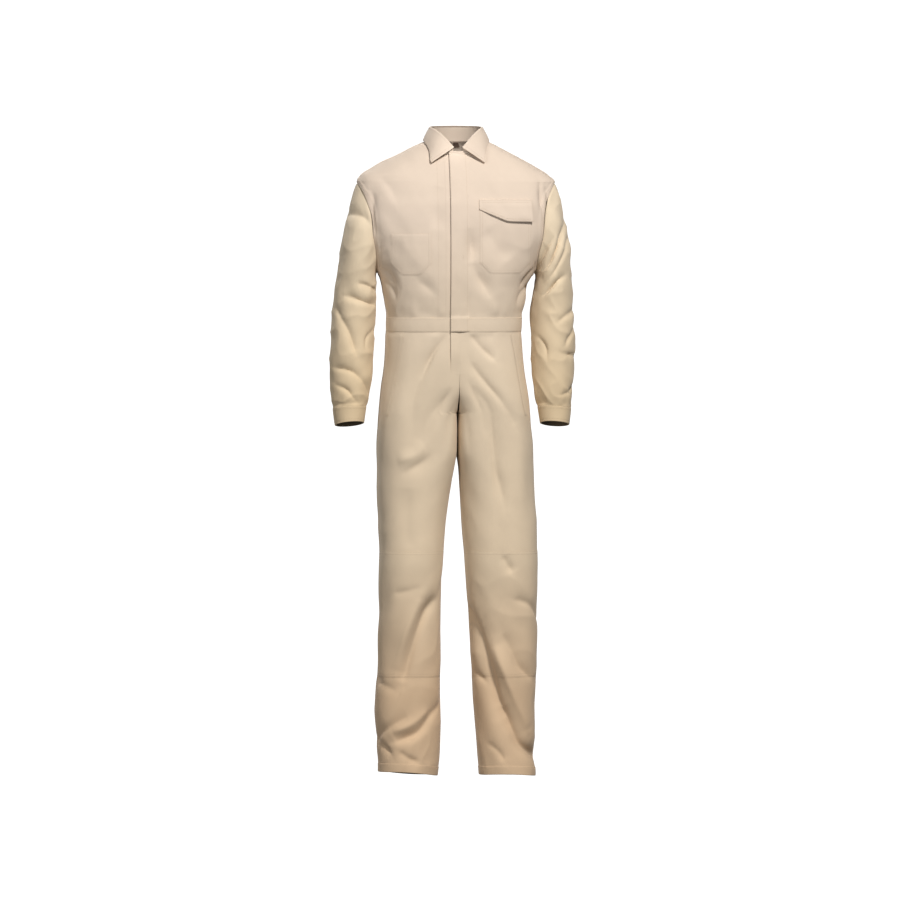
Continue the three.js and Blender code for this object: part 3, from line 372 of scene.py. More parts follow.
def unit(vectors):
    return vectors / np.maximum(np.linalg.norm(vectors, axis=-1, keepdims=True), 1e-9)


def vector(x, y, z):
    return np.stack(np.broadcast_arrays(x, y, z), axis=-1).astype(float)


def noise(points, size, seed):
    """Smooth noise between -1 and 1, with lumps of about the size given along each axis."""
    place = points / np.asarray(size, float) + seed * 7.31
    cell = np.floor(place).astype(np.int64)
    t = place - cell
    t = t * t * t * (t * (t * 6 - 15) + 10)
    total = np.zeros(points.shape[:-1])
    for corner in itertools.product((0, 1), repeat=3):
        at = cell + np.array(corner)
        mixed = (at[..., 0] * 73856093) ^ (at[..., 1] * 19349663) ^ (at[..., 2] * 83492791) ^ (seed * 40503)
        mixed = (mixed ^ (mixed >> 13)) * 1274126177
        value = ((mixed ^ (mixed >> 16)) & 65535) / 32767.5 - 1
        weight = np.prod(np.where(np.array(corner) == 1, t, 1 - t), axis=-1)
        total += weight * value
    return total


def rumple(points, size, seed):
    """Creased noise: thin ridges and broad hollows, between -1 and 1."""
    bent = points + 14 * np.stack([noise(points, (60, 60, 60), seed + k) for k in (1, 2, 3)], axis=-1)
    return 1 - 3.2 * np.abs(noise(bent, size, seed)) ** 0.8


torso_ring = curves(TORSO, "z")
leg_ring = curves(LEGS, "z")
sleeve_ring = curves(SLEEVES, "row")
collar_ring = curves(COLLAR, "angle")


class Tube:
    """A part of the suit as a stack of rings. Places on it are an angle and a level."""

    angles = np.linspace(-math.pi, math.pi, 721)
    fine = (0.002, 0.25)
    crease_gain = 2.5
    crease_width = 0.95
    creases = []

    def measure(self, levels):
        """Lengths round each ring, from angle 0, for turning angles into girths and back."""
        self.levels = np.sort(levels)
        rings = self.place(self.angles[None, :], self.levels[:, None])
        steps = np.linalg.norm(np.diff(rings, axis=1), axis=-1)
        lengths = np.concatenate([np.zeros((len(levels), 1)), np.cumsum(steps, axis=1)], axis=1)
        zero = np.argmin(np.abs(self.angles))
        self.lengths = lengths - lengths[:, zero:zero + 1]

    def ring_lengths(self, level):
        i = int(np.clip(np.searchsorted(self.levels, level) - 1, 0, len(self.levels) - 2))
        t = np.clip((level - self.levels[i]) / (self.levels[i + 1] - self.levels[i]), 0, 1)
        return self.lengths[i] * (1 - t) + self.lengths[i + 1] * t

    def girth(self, angle, level):
        angle, level = np.broadcast_arrays(angle, level)
        i = np.clip(np.searchsorted(self.levels, level) - 1, 0, len(self.levels) - 2)
        t = np.clip((level - self.levels[i]) / (self.levels[i + 1] - self.levels[i]), 0, 1)
        at = (angle - self.angles[0]) / (self.angles[1] - self.angles[0])
        j = np.clip(at.astype(int), 0, len(self.angles) - 2)
        s = np.clip(at - j, 0, 1)
        low = self.lengths[i, j] * (1 - s) + self.lengths[i, j + 1] * s
        high = self.lengths[i + 1, j] * (1 - s) + self.lengths[i + 1, j + 1] * s
        return low * (1 - t) + high * t

    def round(self, level):
        """The whole length round the tube at a level."""
        return self.girth(self.angles[-1], level) - self.girth(self.angles[0], level)

    def run(self, level):
        return -np.asarray(level, float)

    def base(self, angle, level):
        """Points of the plain surface and the outward directions there."""
        turn, down = self.fine
        point = self.place(angle, level)
        along = self.place(angle + turn, level) - self.place(angle - turn, level)
        below = self.place(angle, level + down) - self.place(angle, level - down)
        normal = unit(np.cross(along, below))
        inward = np.sum(normal * (point - self.centre(level)), axis=-1, keepdims=True) < 0
        return point, np.where(inward, -normal, normal)

    def drape(self, angle, level):
        """How far the worn cloth stands out from the plain surface."""
        point = self.place(angle, level)
        girth = self.girth(angle, level)
        run = np.broadcast_to(self.run(level), girth.shape)
        height = self.ripple(point) + self.puckers(angle, level, point)
        for crease in self.creases:
            height = height + self.crease_gain * crease.height(girth, run, self.round(level))
        return height * self.calm(angle, level)

    def puckers(self, angle, level, point):
        return 0

    def surface(self, angle, level, lift=0):
        """Points of the draped surface, moved out by lift, and the outward directions."""
        point, normal = self.base(angle, level)
        height = self.drape(angle, level) + lift
        return point + normal * height[..., None], normal


class Torso(Tube):
    def place(self, angle, level):
        ahead = np.cos(angle)
        half = np.where(angle < 0, torso_ring["right"](level), torso_ring["left"](level))
        depth = np.where(ahead > 0, torso_ring["front"](level), torso_ring["back"](level))
        square = torso_ring["square"](level)
        dip = np.where(ahead > 0, torso_ring["drop"](level) * ahead * ahead, 0)
        return vector(half * power(np.sin(angle), square), -depth * power(ahead, square), level - dip)

    def centre(self, level):
        return vector(0, 0, level)

    def spot(self, x, z, face):
        """The angle and level at a place seen from the front or back, and how far it is past the side."""
        half = torso_ring["left"](z) if x > 0 else torso_ring["right"](z)
        share = abs(x) / half
        angle = float(angle_at(share, torso_ring["square"](z)))
        angle = math.copysign(angle if face == "front" else math.pi - angle, x)
        past = max(share - 1, 0) * half * math.copysign(1, x) * (1 if face == "front" else -1)
        return angle, z, past

    def ripple(self, point):
        long = noise(point, (46, 46, 120), 3) * 1.8
        slant = noise(point + point[..., 2:3] * np.array([0.6, 0, 0]), (30, 60, 70), 5)
        flank = blend(70, 160, np.abs(point[..., 0])) * blend(-120, -220, point[..., 2])
        return long + slant + rumple(point, (38, 50, 60), 7) * 0.9 * flank + self.shoulder(point)

    def shoulder(self, point):
        """Rounds the turn between the shoulder slope and the chest."""
        turn = np.minimum(0.055 * (np.abs(point[..., 0]) / 100) ** 3, 0.35)
        return -turn * SHOULDER_DIP * np.exp(-(((point[..., 2] - SHOULDER_POINT) / SHOULDER_ROUND) ** 2))

    def puckers(self, angle, level, point):
        """Small gathers where the waistband draws the cloth in."""
        near = blend(WAIST_TOP + 62, WAIST_TOP + 8, level)
        tucks = noise(point, (13, 17, 70), 11) * 1.1 + noise(point, (7, 9, 40), 12) * 0.3
        roll = 0.6 * np.exp(-(((level - WAIST_TOP - 26) / 22) ** 2))
        return near * tucks + roll

    def calm(self, angle, level):
        at_waist = blend(WAIST_TOP, WAIST_TOP + 14, level)
        at_neck = blend(NECK_LEVEL, NECK_LEVEL - 30, level)
        return at_waist * at_neck


class Leg(Tube):
    angles = np.linspace(-QUARTER, 3 * QUARTER, 721)

    def __init__(self, side):
        self.side = side
        self.name = SIDES[side]

    def shape(self, level):
        outer = leg_ring["out_" + self.name](level)
        inner = leg_ring["in_" + self.name](level)
        return (outer + inner) / 2, (outer - inner) / 2

    def squareness(self, level, inner):
        """The two legs lie flat against each other at the fork."""
        near = blend(FORK[0], FORK[1], level) * blend(FORK[3], FORK[2], level)
        return leg_ring["square"](level) - np.where(inner, FORK_FLAT * near, 0)

    def turned(self, share, level):
        """The angle at a share of the half width, from -1 inside to 1 outside."""
        return angle_at(share, self.squareness(level, share < 0))

    def place(self, angle, level):
        middle, half = self.shape(level)
        square = self.squareness(level, np.sin(angle) < 0)
        ahead = np.cos(angle)
        depth = np.where(ahead > 0, leg_ring["front"](level), leg_ring["back"](level))
        across = power(np.sin(angle), square)
        hem = HEMS[self.side]
        edge = hem["inner"] + (1 + across) / 2 * (hem["outer"] - hem["inner"])
        hang = ahead * np.abs(ahead) * hem["back"]
        z = level + blend(HEM_START, HEM_LEVEL, level) * (edge + hang - HEM_LEVEL)
        y = leg_ring["y"](level) - depth * power(ahead, square)
        return vector(self.side * (middle + half * across), y, z)

    def centre(self, level):
        middle = self.shape(level)[0]
        return vector(self.side * np.maximum(middle, 0), leg_ring["y"](level), level)

    def start(self, level):
        """The angle where the rise seam cuts the ring."""
        middle, half = self.shape(level)
        edge = np.maximum(SEAM_GAP / 2 - middle, -half)
        return self.turned(edge / half, level)

    def spot(self, x, z, face):
        middle, half = self.shape(z)
        share = (self.side * x - middle) / half
        angle = float(self.turned(share, z))
        past = math.copysign(max(abs(share) - 1, 0) * half, share)
        return (angle, z, past) if face == "front" else (math.pi - angle, z, -past)

    def ripple(self, point):
        seed = 21 if self.side == RIGHT else 31
        hanging = noise(point, (42, 48, 170), seed) * 2.0
        lean = point + point[..., 2:3] * np.array([0.45 * self.side, 0, 0])
        slanting = noise(lean, (34, 60, 80), seed + 2)
        low = blend(-900, -1150, point[..., 2])
        creased = rumple(lean, (55, 70, 95), seed + 5)
        return hanging + slanting * (0.8 + low) + creased * (0.3 + 0.5 * low)

    def puckers(self, angle, level, point):
        """Small gathers under the waistband."""
        near = blend(WAIST_BOTTOM - 46, WAIST_BOTTOM - 4, level)
        return near * noise(point, (15, 18, 60), 13) * 1.1

    def calm(self, angle, level):
        at_waist = blend(WAIST_BOTTOM, WAIST_BOTTOM - 14, level)
        start = self.start(level)
        girth = self.girth(angle, level)
        off = np.minimum(girth - self.girth(start, level), self.girth(math.pi - start, level) - girth)
        at_rise = 0.1 + 0.9 * blend(0, 30, off)
        lower = 0.35 + 0.65 * blend(0, 20, off)
        high = blend(CROTCH - 90, CROTCH - 10, level)
        return at_waist * (lower + (at_rise - lower) * high)


class Sleeve(Tube):
    fine = (0.002, 0.01)
    crease_gain = 2.1
    crease_width = 0.66

    def __init__(self, side):
        self.side = side

    def plain(self, turn, row):
        out_x, out_z = sleeve_ring["out_x"](row), sleeve_ring["out_z"](row)
        in_x, in_z = sleeve_ring["in_x"](row), sleeve_ring["in_z"](row)
        ahead = np.sin(turn)
        depth = np.where(ahead > 0, sleeve_ring["front"](row), sleeve_ring["back"](row))
        share = (1 + np.cos(turn)) / 2
        x = self.side * (in_x + share * (out_x - in_x)) - sleeve_ring["swing"](row)
        z = in_z + share * (out_z - in_z) + blend(10, 15, row) * CUFF_TILT * ahead
        return vector(x, sleeve_ring["y"](row) - depth * ahead, z)

    def place(self, turn, row):
        point = self.plain(turn, row)
        fade = 1 - blend(0, ARMHOLE_ROWS, row)
        middle = (armhole_point(self.side, 0.0) + armhole_point(self.side, math.pi)) / 2
        inset = (SOLID_CLOTH / 4 + SEAM_GAP) / ARMHOLE["half"]
        edge = armhole_point(self.side, turn)
        edge = edge + (middle - edge) * inset
        return point + np.asarray(fade)[..., None] * (edge - self.plain(turn, np.zeros_like(row)))

    def centre(self, row):
        return (self.plain(0.0, row) + self.plain(math.pi, row)) / 2

    def run(self, row):
        fine = np.linspace(0, CUFF_END, 151)
        steps = np.linalg.norm(np.diff(self.centre(fine), axis=0), axis=-1)
        return np.interp(row, fine, np.concatenate([[0], np.cumsum(steps)]))

    def spot(self, x, z, face):
        rows = np.linspace(0, CUFF_END, 601)
        in_x, out_x = sleeve_ring["in_x"](rows), sleeve_ring["out_x"](rows)
        in_z, out_z = sleeve_ring["in_z"](rows), sleeve_ring["out_z"](rows)
        share = (self.side * (x + sleeve_ring["swing"](rows)) - in_x) / (out_x - in_x)
        level = in_z + np.clip(share, 0, 1) * (out_z - in_z)
        i = int(np.argmin(np.abs(level - z)))
        turn = math.acos(float(np.clip(2 * share[i] - 1, -1, 1)))
        past = 0.0
        if share[i] > 1:
            past = -(share[i] - 1) * (out_x[i] - in_x[i])
        if share[i] < 0:
            past = -share[i] * (out_x[i] - in_x[i])
        sign = 1 if face == "front" else -1
        return sign * turn, rows[i], sign * past

    def ripple(self, point):
        seed = 41 if self.side == RIGHT else 51
        lean = point + point[..., 2:3] * np.array([0.7 * self.side, 0, 0])
        soft = noise(lean, (34, 44, 58), seed) * 1.4 + noise(point, (24, 30, 36), seed + 1) * 0.7
        return soft + rumple(lean, (42, 52, 52), seed + 4)

    def puckers(self, turn, row, point):
        """The sleeve is gathered a little into its cuff."""
        near = blend(CUFF_ROW - 1.6, CUFF_ROW - 0.2, row)
        return near * (noise(point, (12, 14, 50), 15) * 1.6)

    def calm(self, turn, row):
        return blend(0, 1.2, row) * (1 - blend(CUFF_ROW - 0.35, CUFF_ROW, row))


def armhole_angle(level, face, grow=0):
    """The angle of the armhole's edge at a level. grow makes a larger oval round it."""
    rise = np.clip((level - ARMHOLE["level"]) / (ARMHOLE["half"] + grow), -1, 1)
    reach = (ARMHOLE[face] + grow) * np.sqrt(1 - rise * rise)
    depth = torso_ring["front" if face == "front" else "back"](level)
    return QUARTER - angle_at(reach / depth, torso_ring["square"](level))


def armhole_spot(side, turn, grow=0):
    """Angle and level on the chest's rings, round the armhole. turn is 0 at the shoulder point."""
    level = ARMHOLE["level"] + (ARMHOLE["half"] + grow) * np.cos(turn)
    front = armhole_angle(level, "front", grow)
    back = armhole_angle(level, "back", grow)
    return side * np.where(np.sin(turn) >= 0, front, math.pi - back), level


def armhole_point(side, turn):
    return torso.place(*armhole_spot(side, turn))


def off_armhole(angle, level):
    """About how far a place on the chest is from the armhole's edge."""
    point = torso.place(angle, level)
    reach = np.where(np.cos(angle) > 0, ARMHOLE["front"], ARMHOLE["back"])
    across = np.abs(point[..., 1]) / reach
    up = (level - ARMHOLE["level"]) / ARMHOLE["half"]
    oval = np.sqrt(across ** 2 + up ** 2)
    return (oval - 1) * np.where(np.abs(up) > across, ARMHOLE["half"], reach)


class Crease:
    """One trough or ridge, along a smooth line on the unrolled cloth."""

    between = 5

    def __init__(self, tube, face, row):
        spots = []
        for x, z in row["path"]:
            angle, level, past = tube.spot(x, z, face)
            girth, turn = float(tube.girth(angle, level)) + past, float(tube.round(level))
            if spots:
                girth -= turn * round((girth - spots[-1][0]) / turn)
            spots.append((girth, float(tube.run(level))))
        self.line = self.smooth(np.array(spots))
        self.left, self.right = row["left"] * tube.crease_width, row["right"] * tube.crease_width
        self.depth = row["depth"]
        self.phase = row["path"][0][0] % 6

    def smooth(self, spots):
        ends = np.concatenate([[2 * spots[0] - spots[1]], spots, [2 * spots[-1] - spots[-2]]])
        line = []
        for a, b, c, d in zip(ends, ends[1:], ends[2:], ends[3:]):
            for t in np.arange(self.between) / self.between:
                line.append(((2 * b) + (c - a) * t + (2 * a - 5 * b + 4 * c - d) * t ** 2
                             + (3 * b - a - 3 * c + d) * t ** 3) / 2)
        return np.array([*line, spots[-1]])

    def height(self, girth, run, turn):
        reach = 3 * max(self.left, self.right)
        total = np.zeros(girth.shape)
        for lap in (-1, 0, 1):
            s = girth + lap * turn
            near = (s > self.line[:, 0].min() - reach) & (s < self.line[:, 0].max() + reach)
            near &= (run > self.line[:, 1].min() - reach) & (run < self.line[:, 1].max() + reach)
            if near.any():
                total[near] += self.profile(np.stack([s[near], run[near]], axis=-1))
        return total

    def profile(self, places):
        steps = np.diff(self.line, axis=0)
        lengths = np.linalg.norm(steps, axis=1)
        gone = np.concatenate([[0], np.cumsum(lengths)]) / lengths.sum()
        best = np.full(len(places), 1e9)
        along = np.zeros(len(places))
        sense = np.ones(len(places))
        for start, step, length, first, last in zip(self.line, steps, lengths, gone, gone[1:]):
            away = places - start
            t = np.clip(away @ step / length ** 2, 0, 1)
            off = np.linalg.norm(away - t[:, None] * step, axis=1)
            closer = off < best
            best = np.where(closer, off, best)
            along = np.where(closer, first + t * (last - first), along)
            turned = step[0] * away[:, 1] - step[1] * away[:, 0]
            sense = np.where(closer, np.sign(turned), sense)
        width = np.where(sense > 0, self.left, self.right)
        taper = np.sin(math.pi * np.clip(along, 0.02, 0.98)) ** 0.6
        uneven = 1 + 0.22 * np.sin(7 * along + self.phase)
        return self.depth * taper * uneven * np.exp(-((best / width) ** (1.25 + 0.5 * blend(12, 22, width))))


torso = Torso()
legs = {RIGHT: Leg(RIGHT), LEFT: Leg(LEFT)}
sleeves = {RIGHT: Sleeve(RIGHT), LEFT: Sleeve(LEFT)}
torso.measure(np.arange(WAIST_BOTTOM, NECK_LEVEL + 3, 2.0))
for side in SIDES:
    legs[side].measure(np.arange(HEM_LEVEL, WAIST_BOTTOM + 4, 4.0))
    sleeves[side].measure(np.linspace(0, CUFF_END, 151))
named_tubes = {
    "torso": torso,
    "leg_right": legs[RIGHT],
    "leg_left": legs[LEFT],
    "sleeve_right": sleeves[RIGHT],
    "sleeve_left": sleeves[LEFT],
}
for (part, face), rows in CREASES.items():
    tube = named_tubes[part]
    tube.creases = tube.creases + [Crease(tube, face, row) for row in rows]


# Grids and shells

EDGE = [0, 0.35, 0.9]


def spaced(start, end, first, last, count):
    """Places from start to end along the last axis: set offsets near each end, even ones between."""
    start, end = np.asarray(start, float)[..., None], np.asarray(end, float)[..., None]
    first, last = np.array(first, float), np.array(last, float)
    way = np.sign(end - start)
    low, high = start + way * first[-1], end - way * last[-1]
    middle = low + (high - low) * np.linspace(0, 1, count + 2)[1:-1]
    return np.concatenate([start + way * first, middle, end - way * last[::-1]], axis=-1)


def count_for(span, first, last, step=MESH_STEP):
    return max(2, int(round((span - first[-1] - last[-1]) / step)))


class Grid:
    """Points of a piece: rows run down it and columns run across."""

    def __init__(self, tube, angle, level, off):
        self.tube, self.angle, self.level, self.off = tube, angle, level, off

    def points(self, relief=0):
        return self.tube.surface(self.angle, self.level, np.broadcast_to(relief, self.angle.shape))

    def cloth(self):
        """Each point's place on the flat cloth."""
        girth = self.tube.girth(self.angle, self.level)
        return np.stack([girth, -np.broadcast_to(self.tube.run(self.level), girth.shape)], axis=-1)


def eased(levels, places, first, last):
    """Keeps the columns in a panel's middle straight where its edge turns sharply."""
    near = np.exp(-(((levels[:, None] - levels[None, :]) / EASE_REACH) ** 2))
    near = near * np.abs(np.gradient(levels))[None, :]
    near = near / near.sum(axis=1, keepdims=True)
    middle = places[:, first:-last]
    low, high = places[:, first - 1], places[:, -last]
    t = np.linspace(0, 1, middle.shape[1] + 2)[None, 1:-1]
    even_low, even_high = (near @ low)[:, None], (near @ high)[:, None]
    from_low = even_low + (1 - blend(0, 0.4, t)) * (low[:, None] - even_low)
    from_high = even_high + blend(0.6, 1, t) * (high[:, None] - even_high)
    places[:, first:-last] = from_low + (from_high - from_low) * t
    return places


def panel(tube, levels, start, end, first, last, step=MESH_STEP):
    """A grid between two edges, given as angles at each level. off holds the distance from each."""
    begin, finish = start(levels), end(levels)
    low, high = tube.girth(begin, levels), tube.girth(finish, levels)
    count = count_for(np.abs(high - low).max(), first, last, step)
    places = eased(levels, spaced(low, high, first, last, count), len(first), len(last))
    angle = np.empty_like(places)
    for i, level in enumerate(levels):
        angle[i] = np.interp(places[i], tube.ring_lengths(level), tube.angles)
    grid_level = np.broadcast_to(levels[:, None], angle.shape)
    off = dict(start=np.abs(places - low[:, None]), end=np.abs(high[:, None] - places))
    return Grid(tube, angle, grid_level, off)


def patch(tube, side, xs, top, bottom, first, last, to_angle, step=MESH_STEP):
    """A grid over a piece that lies on a panel. xs are distances from the middle line."""
    top, bottom = np.broadcast_to(top, xs.shape), np.broadcast_to(bottom, xs.shape)
    count = count_for(np.abs(top - bottom).max(), first, last, step)
    level = spaced(top, bottom, first, last, count).T
    angle = to_angle(np.broadcast_to(xs, level.shape), level)
    off = dict(start=np.abs(level - top), end=np.abs(level - bottom))
    return Grid(tube, angle, level, off)


def edge_roll(off, thick):
    """A turned edge: the outer face comes in by half the thickness over the last millimetre."""
    return -0.5 * thick * (1 - np.sqrt(1 - (1 - np.clip(off / EDGE[-1], 0, 1)) ** 2))


def band(off, width, rise):
    """A strip of doubled cloth along an edge, with a soft step at its inner side."""
    return rise * (1 - blend(width, width + 1.3, off))


def stitch_dip(off, at, depth=0.25, half=1.1):
    return -depth * np.exp(-(((off - at) / half) ** 2))


def stitch_dips(off, rows, depth=0.25):
    """The cloth pressed in along several rows of stitches."""
    return sum(stitch_dip(off, at, depth) for at in rows)


def shell(name, points, normals, thick, cloth, tube=False):
    """A thin closed piece of cloth, with its outer face through the points.

    Its inner faces are in a material slot of their own."""
    rows, columns = points.shape[:2]
    thick = np.broadcast_to(thick, (rows, columns))[..., None]
    verts = np.concatenate([points.reshape(-1, 3), (points - normals * thick).reshape(-1, 3)]) * MM
    across = np.arange(columns if tube else columns - 1)
    down = np.arange(rows - 1)
    r, c = (part.ravel() for part in np.meshgrid(down, across, indexing="ij"))

    def at(row, col, inside):
        return inside * rows * columns + row * columns + col % columns

    quads = [np.stack([at(r, c, 0), at(r + 1, c, 0), at(r + 1, c + 1, 0), at(r, c + 1, 0)], axis=1)]
    quads.append(np.stack([at(r, c, 1), at(r, c + 1, 1), at(r + 1, c + 1, 1), at(r + 1, c, 1)], axis=1))
    for row, flip in ((0, 1), (rows - 1, -1)):
        rim = [at(row, across, 0), at(row, across + 1, 0), at(row, across + 1, 1), at(row, across, 1)]
        quads.append(np.stack(rim[::flip], axis=1))
    if not tube:
        for col, flip in ((0, -1), (columns - 1, 1)):
            rim = [at(down, col, 0), at(down + 1, col, 0), at(down + 1, col, 1), at(down, col, 1)]
            quads.append(np.stack(rim[::flip], axis=1))
    quads = np.concatenate(quads)
    mesh = bpy.data.meshes.new(name)
    mesh.vertices.add(len(verts))
    mesh.vertices.foreach_set("co", verts.ravel())
    mesh.loops.add(quads.size)
    mesh.loops.foreach_set("vertex_index", quads.ravel())
    mesh.polygons.add(len(quads))
    mesh.polygons.foreach_set("loop_start", np.arange(0, quads.size, 4))
    mesh.polygons.foreach_set("use_smooth", np.ones(len(quads), bool))
    faces = (rows - 1) * len(across)
    slots = np.zeros(len(quads), np.int32)
    slots[faces:2 * faces] = 1
    mesh.polygons.foreach_set("material_index", slots)
    uv = mesh.uv_layers.new(name="cloth")
    flat = np.concatenate([cloth.reshape(-1, 2)] * 2) * MM
    uv.data.foreach_set("uv", flat[quads.ravel()].ravel())
    mesh.update(calc_edges=True)
    face_out(mesh)
    mesh.set_sharp_from_angle(angle=math.radians(62))
    piece = bpy.data.objects.new(name, mesh)
    bpy.context.scene.collection.objects.link(piece)
    return piece


def face_out(mesh):
    """Turns all faces round where the shell came out inside out."""
    corners = np.zeros(len(mesh.vertices) * 3)
    mesh.vertices.foreach_get("co", corners)
    corners = corners.reshape(-1, 3)
    loops = np.zeros(len(mesh.loops), int)
    mesh.loops.foreach_get("vertex_index", loops)
    a, b, c, d = (corners[loops.reshape(-1, 4)[:, i]] for i in range(4))
    volume = np.sum(a * np.cross(b, c)) + np.sum(a * np.cross(c, d))
    if volume < 0:
        mesh.flip_normals()


def sizes(points, tube=False):
    """Widest and longest runs of a grid, and its area, in metres."""
    closed = np.concatenate([points, points[:, :1]], axis=1) if tube else points
    across = np.linalg.norm(np.diff(closed, axis=1), axis=-1).sum(axis=1).max()
    down = np.linalg.norm(np.diff(closed, axis=0), axis=-1).sum(axis=0).max()
    side_a = closed[1:, 1:] - closed[:-1, :-1]
    side_b = closed[1:, :-1] - closed[:-1, 1:]
    area = np.linalg.norm(np.cross(side_a, side_b), axis=-1).sum() / 2
    return across * MM, down * MM, area * MM * MM


laid = {}


def sew(name, grid, relief, thick=CLOTH, tube=False, points=None, look=None, inside=None):
    """Makes a piece of cloth from its grid, in place of the solid of the same name.

    look is its material, which is the body's twill unless another is given."""
    look = look or body_twill
    place, normal = points or grid.points(relief)
    laid[name] = (place, normal)
    piece = shell(name + "_cloth", place, normal, thick, grid.cloth() if grid else cloth_of(place), tube)
    piece.data.materials.append(look)
    piece.data.materials.append(inside or look)
    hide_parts(name)
    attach(piece, BODY)
    width, length, area = sizes(place, tube)


def cloth_of(points):
    """Flat places of a free grid, from its own lengths."""
    across = np.linalg.norm(np.diff(points, axis=1), axis=-1)
    down = np.linalg.norm(np.diff(points, axis=0), axis=-1)
    u = np.concatenate([np.zeros((len(points), 1)), np.cumsum(across, axis=1)], axis=1)
    v = np.concatenate([np.zeros((1, points.shape[1])), np.cumsum(down, axis=0)], axis=0)
    return np.stack([u, -v], axis=-1)


# Shader nodes


class Socket:
    """An output socket, with arithmetic that adds Math nodes."""

    def __init__(self, nodes, output):
        self.nodes, self.output = nodes, output

    def math(self, operation, first, second=None):
        values = [first] if second is None else [first, second]
        return self.nodes.add("ShaderNodeMath", dict(operation=operation), *values)

    def __add__(self, other):
        return self.math("ADD", self, other)

    def __radd__(self, other):
        return self.math("ADD", other, self)

    def __sub__(self, other):
        return self.math("SUBTRACT", self, other)

    def __mul__(self, other):
        return self.math("MULTIPLY", self, other)

    def sine(self):
        return self.math("SINE", self)


OBJECT_SPACE = 3


class Finish:
    """A material's node tree. add() makes any node and gives its first output."""

    def __init__(self, name):
        self.material = bpy.data.materials.new(name)
        self.material.use_nodes = True
        self.tree = self.material.node_tree
        self.tree.nodes.clear()

    def add(self, kind, settings=None, *values, output=0, **named):
        node = self.tree.nodes.new(kind)
        for key, value in (settings or {}).items():
            if key == "stops":
                self.fill_ramp(node, value)
            else:
                setattr(node, key, value)
        for key, value in [*enumerate(values), *named.items()]:
            self.join(node.inputs[key if isinstance(key, int) else key.replace("_", " ")], value)
        return Socket(self, node.outputs[output]) if node.outputs else None

    def join(self, socket, value):
        if isinstance(value, Socket):
            self.tree.links.new(value.output, socket)
        else:
            socket.default_value = value

    def fill_ramp(self, node, stops):
        ramp = node.color_ramp
        while len(ramp.elements) < len(stops):
            ramp.elements.new(1)
        for element, (place, colour) in zip(ramp.elements, stops):
            element.position = place
            element.color = colour

    def surface(self, shader):
        self.add("ShaderNodeOutputMaterial", None, Surface=shader)
        return self.material


DARKER = 0.87
LOWEST = -1.55
HIGHEST = 0.1


def srgb(red, green, blue):
    """A colour as read on a screen, made linear for the shader."""
    linear = [(c / 255 / 12.92) if c < 10 else ((c / 255 + 0.055) / 1.055) ** 2.4 for c in (red, green, blue)]
    return (*linear, 1)


def mix_colour(finish, factor, first, second):
    """Mixes two colours. The node's colour inputs are its last two."""
    node = finish.tree.nodes.new("ShaderNodeMix")
    node.data_type = "RGBA"
    finish.join(node.inputs[0], factor)
    finish.join(node.inputs[6], first)
    finish.join(node.inputs[7], second)
    return Socket(finish, node.outputs[2])


def twill(name, colours_and_painted_light, weave=1100):
    """Cotton twill: fine diagonal ribs, uneven yarn, soft mottling and a slight nap.

    The colours by height, from the lowest up, are the cloth's own colour, with painted light wherever they
    change with height."""
    f = Finish(name)
    uv = f.add("ShaderNodeUVMap", dict(uv_map="cloth"))
    u = f.add("ShaderNodeSeparateXYZ", None, uv)
    v = Socket(f, u.output.node.outputs[1])
    wander = f.add("ShaderNodeTexNoise", None, Vector=uv, Scale=90.0, Detail=2.0)
    diagonal = (u + v * 0.62) * weave * 2 * math.pi + wander * 3.0
    rib = diagonal.sine() * 0.5 + 0.5
    yarn = f.add("ShaderNodeTexNoise", None, Vector=uv, Scale=700.0, Detail=3.0)
    place = f.add("ShaderNodeTexCoord", output=OBJECT_SPACE)
    blotch = f.add("ShaderNodeTexNoise", None, Vector=place, Scale=9.0, Detail=3.0, Roughness=0.6)
    fine_blotch = f.add("ShaderNodeTexNoise", None, Vector=place, Scale=60.0, Detail=2.0)
    tone = blotch * 0.55 + fine_blotch * 0.3 + rib * 0.12 + yarn * 0.15
    # Colour by height from the ramp: the cloth's own colour, with painted light where its stops change.
    height = f.add("ShaderNodeSeparateXYZ", None, place, output=2)
    share = (height - LOWEST) * (1 / (HIGHEST - LOWEST))
    stops = [((level - LOWEST) / (HIGHEST - LOWEST), srgb(*colour)) for level, colour in colours_and_painted_light]
    light = f.add("ShaderNodeValToRGB", dict(stops=stops), share)
    base = mix_colour(f, tone, mix_colour(f, DARKER, (0, 0, 0, 1), light), light)
    bump = f.add("ShaderNodeBump", None, Strength=0.35, Distance=0.0003, Height=rib * 0.7 + yarn * 0.3)
    rough = 0.84 + blotch * 0.1
    shader = f.add("ShaderNodeBsdfPrincipled", None, Base_Color=base, Roughness=rough, Normal=bump)
    node = shader.output.node
    node.inputs["Sheen Weight"].default_value = 0.12
    node.inputs["Sheen Roughness"].default_value = 0.5
    node.inputs["Specular IOR Level"].default_value = 0.25
    return f.surface(shader)


def thread(name, colour):
    f = Finish(name)
    place = f.add("ShaderNodeTexCoord", output=OBJECT_SPACE)
    lay = f.add("ShaderNodeTexNoise", None, Vector=place, Scale=1600.0, Detail=1.0)
    base = mix_colour(f, lay, srgb(*[c * 0.86 for c in colour]), srgb(*colour))
    bump = f.add("ShaderNodeBump", None, Strength=0.3, Distance=0.0001, Height=lay)
    shader = f.add("ShaderNodeBsdfPrincipled", None, Base_Color=base, Normal=bump)
    shader.output.node.inputs["Roughness"].default_value = 0.6
    return f.surface(shader)
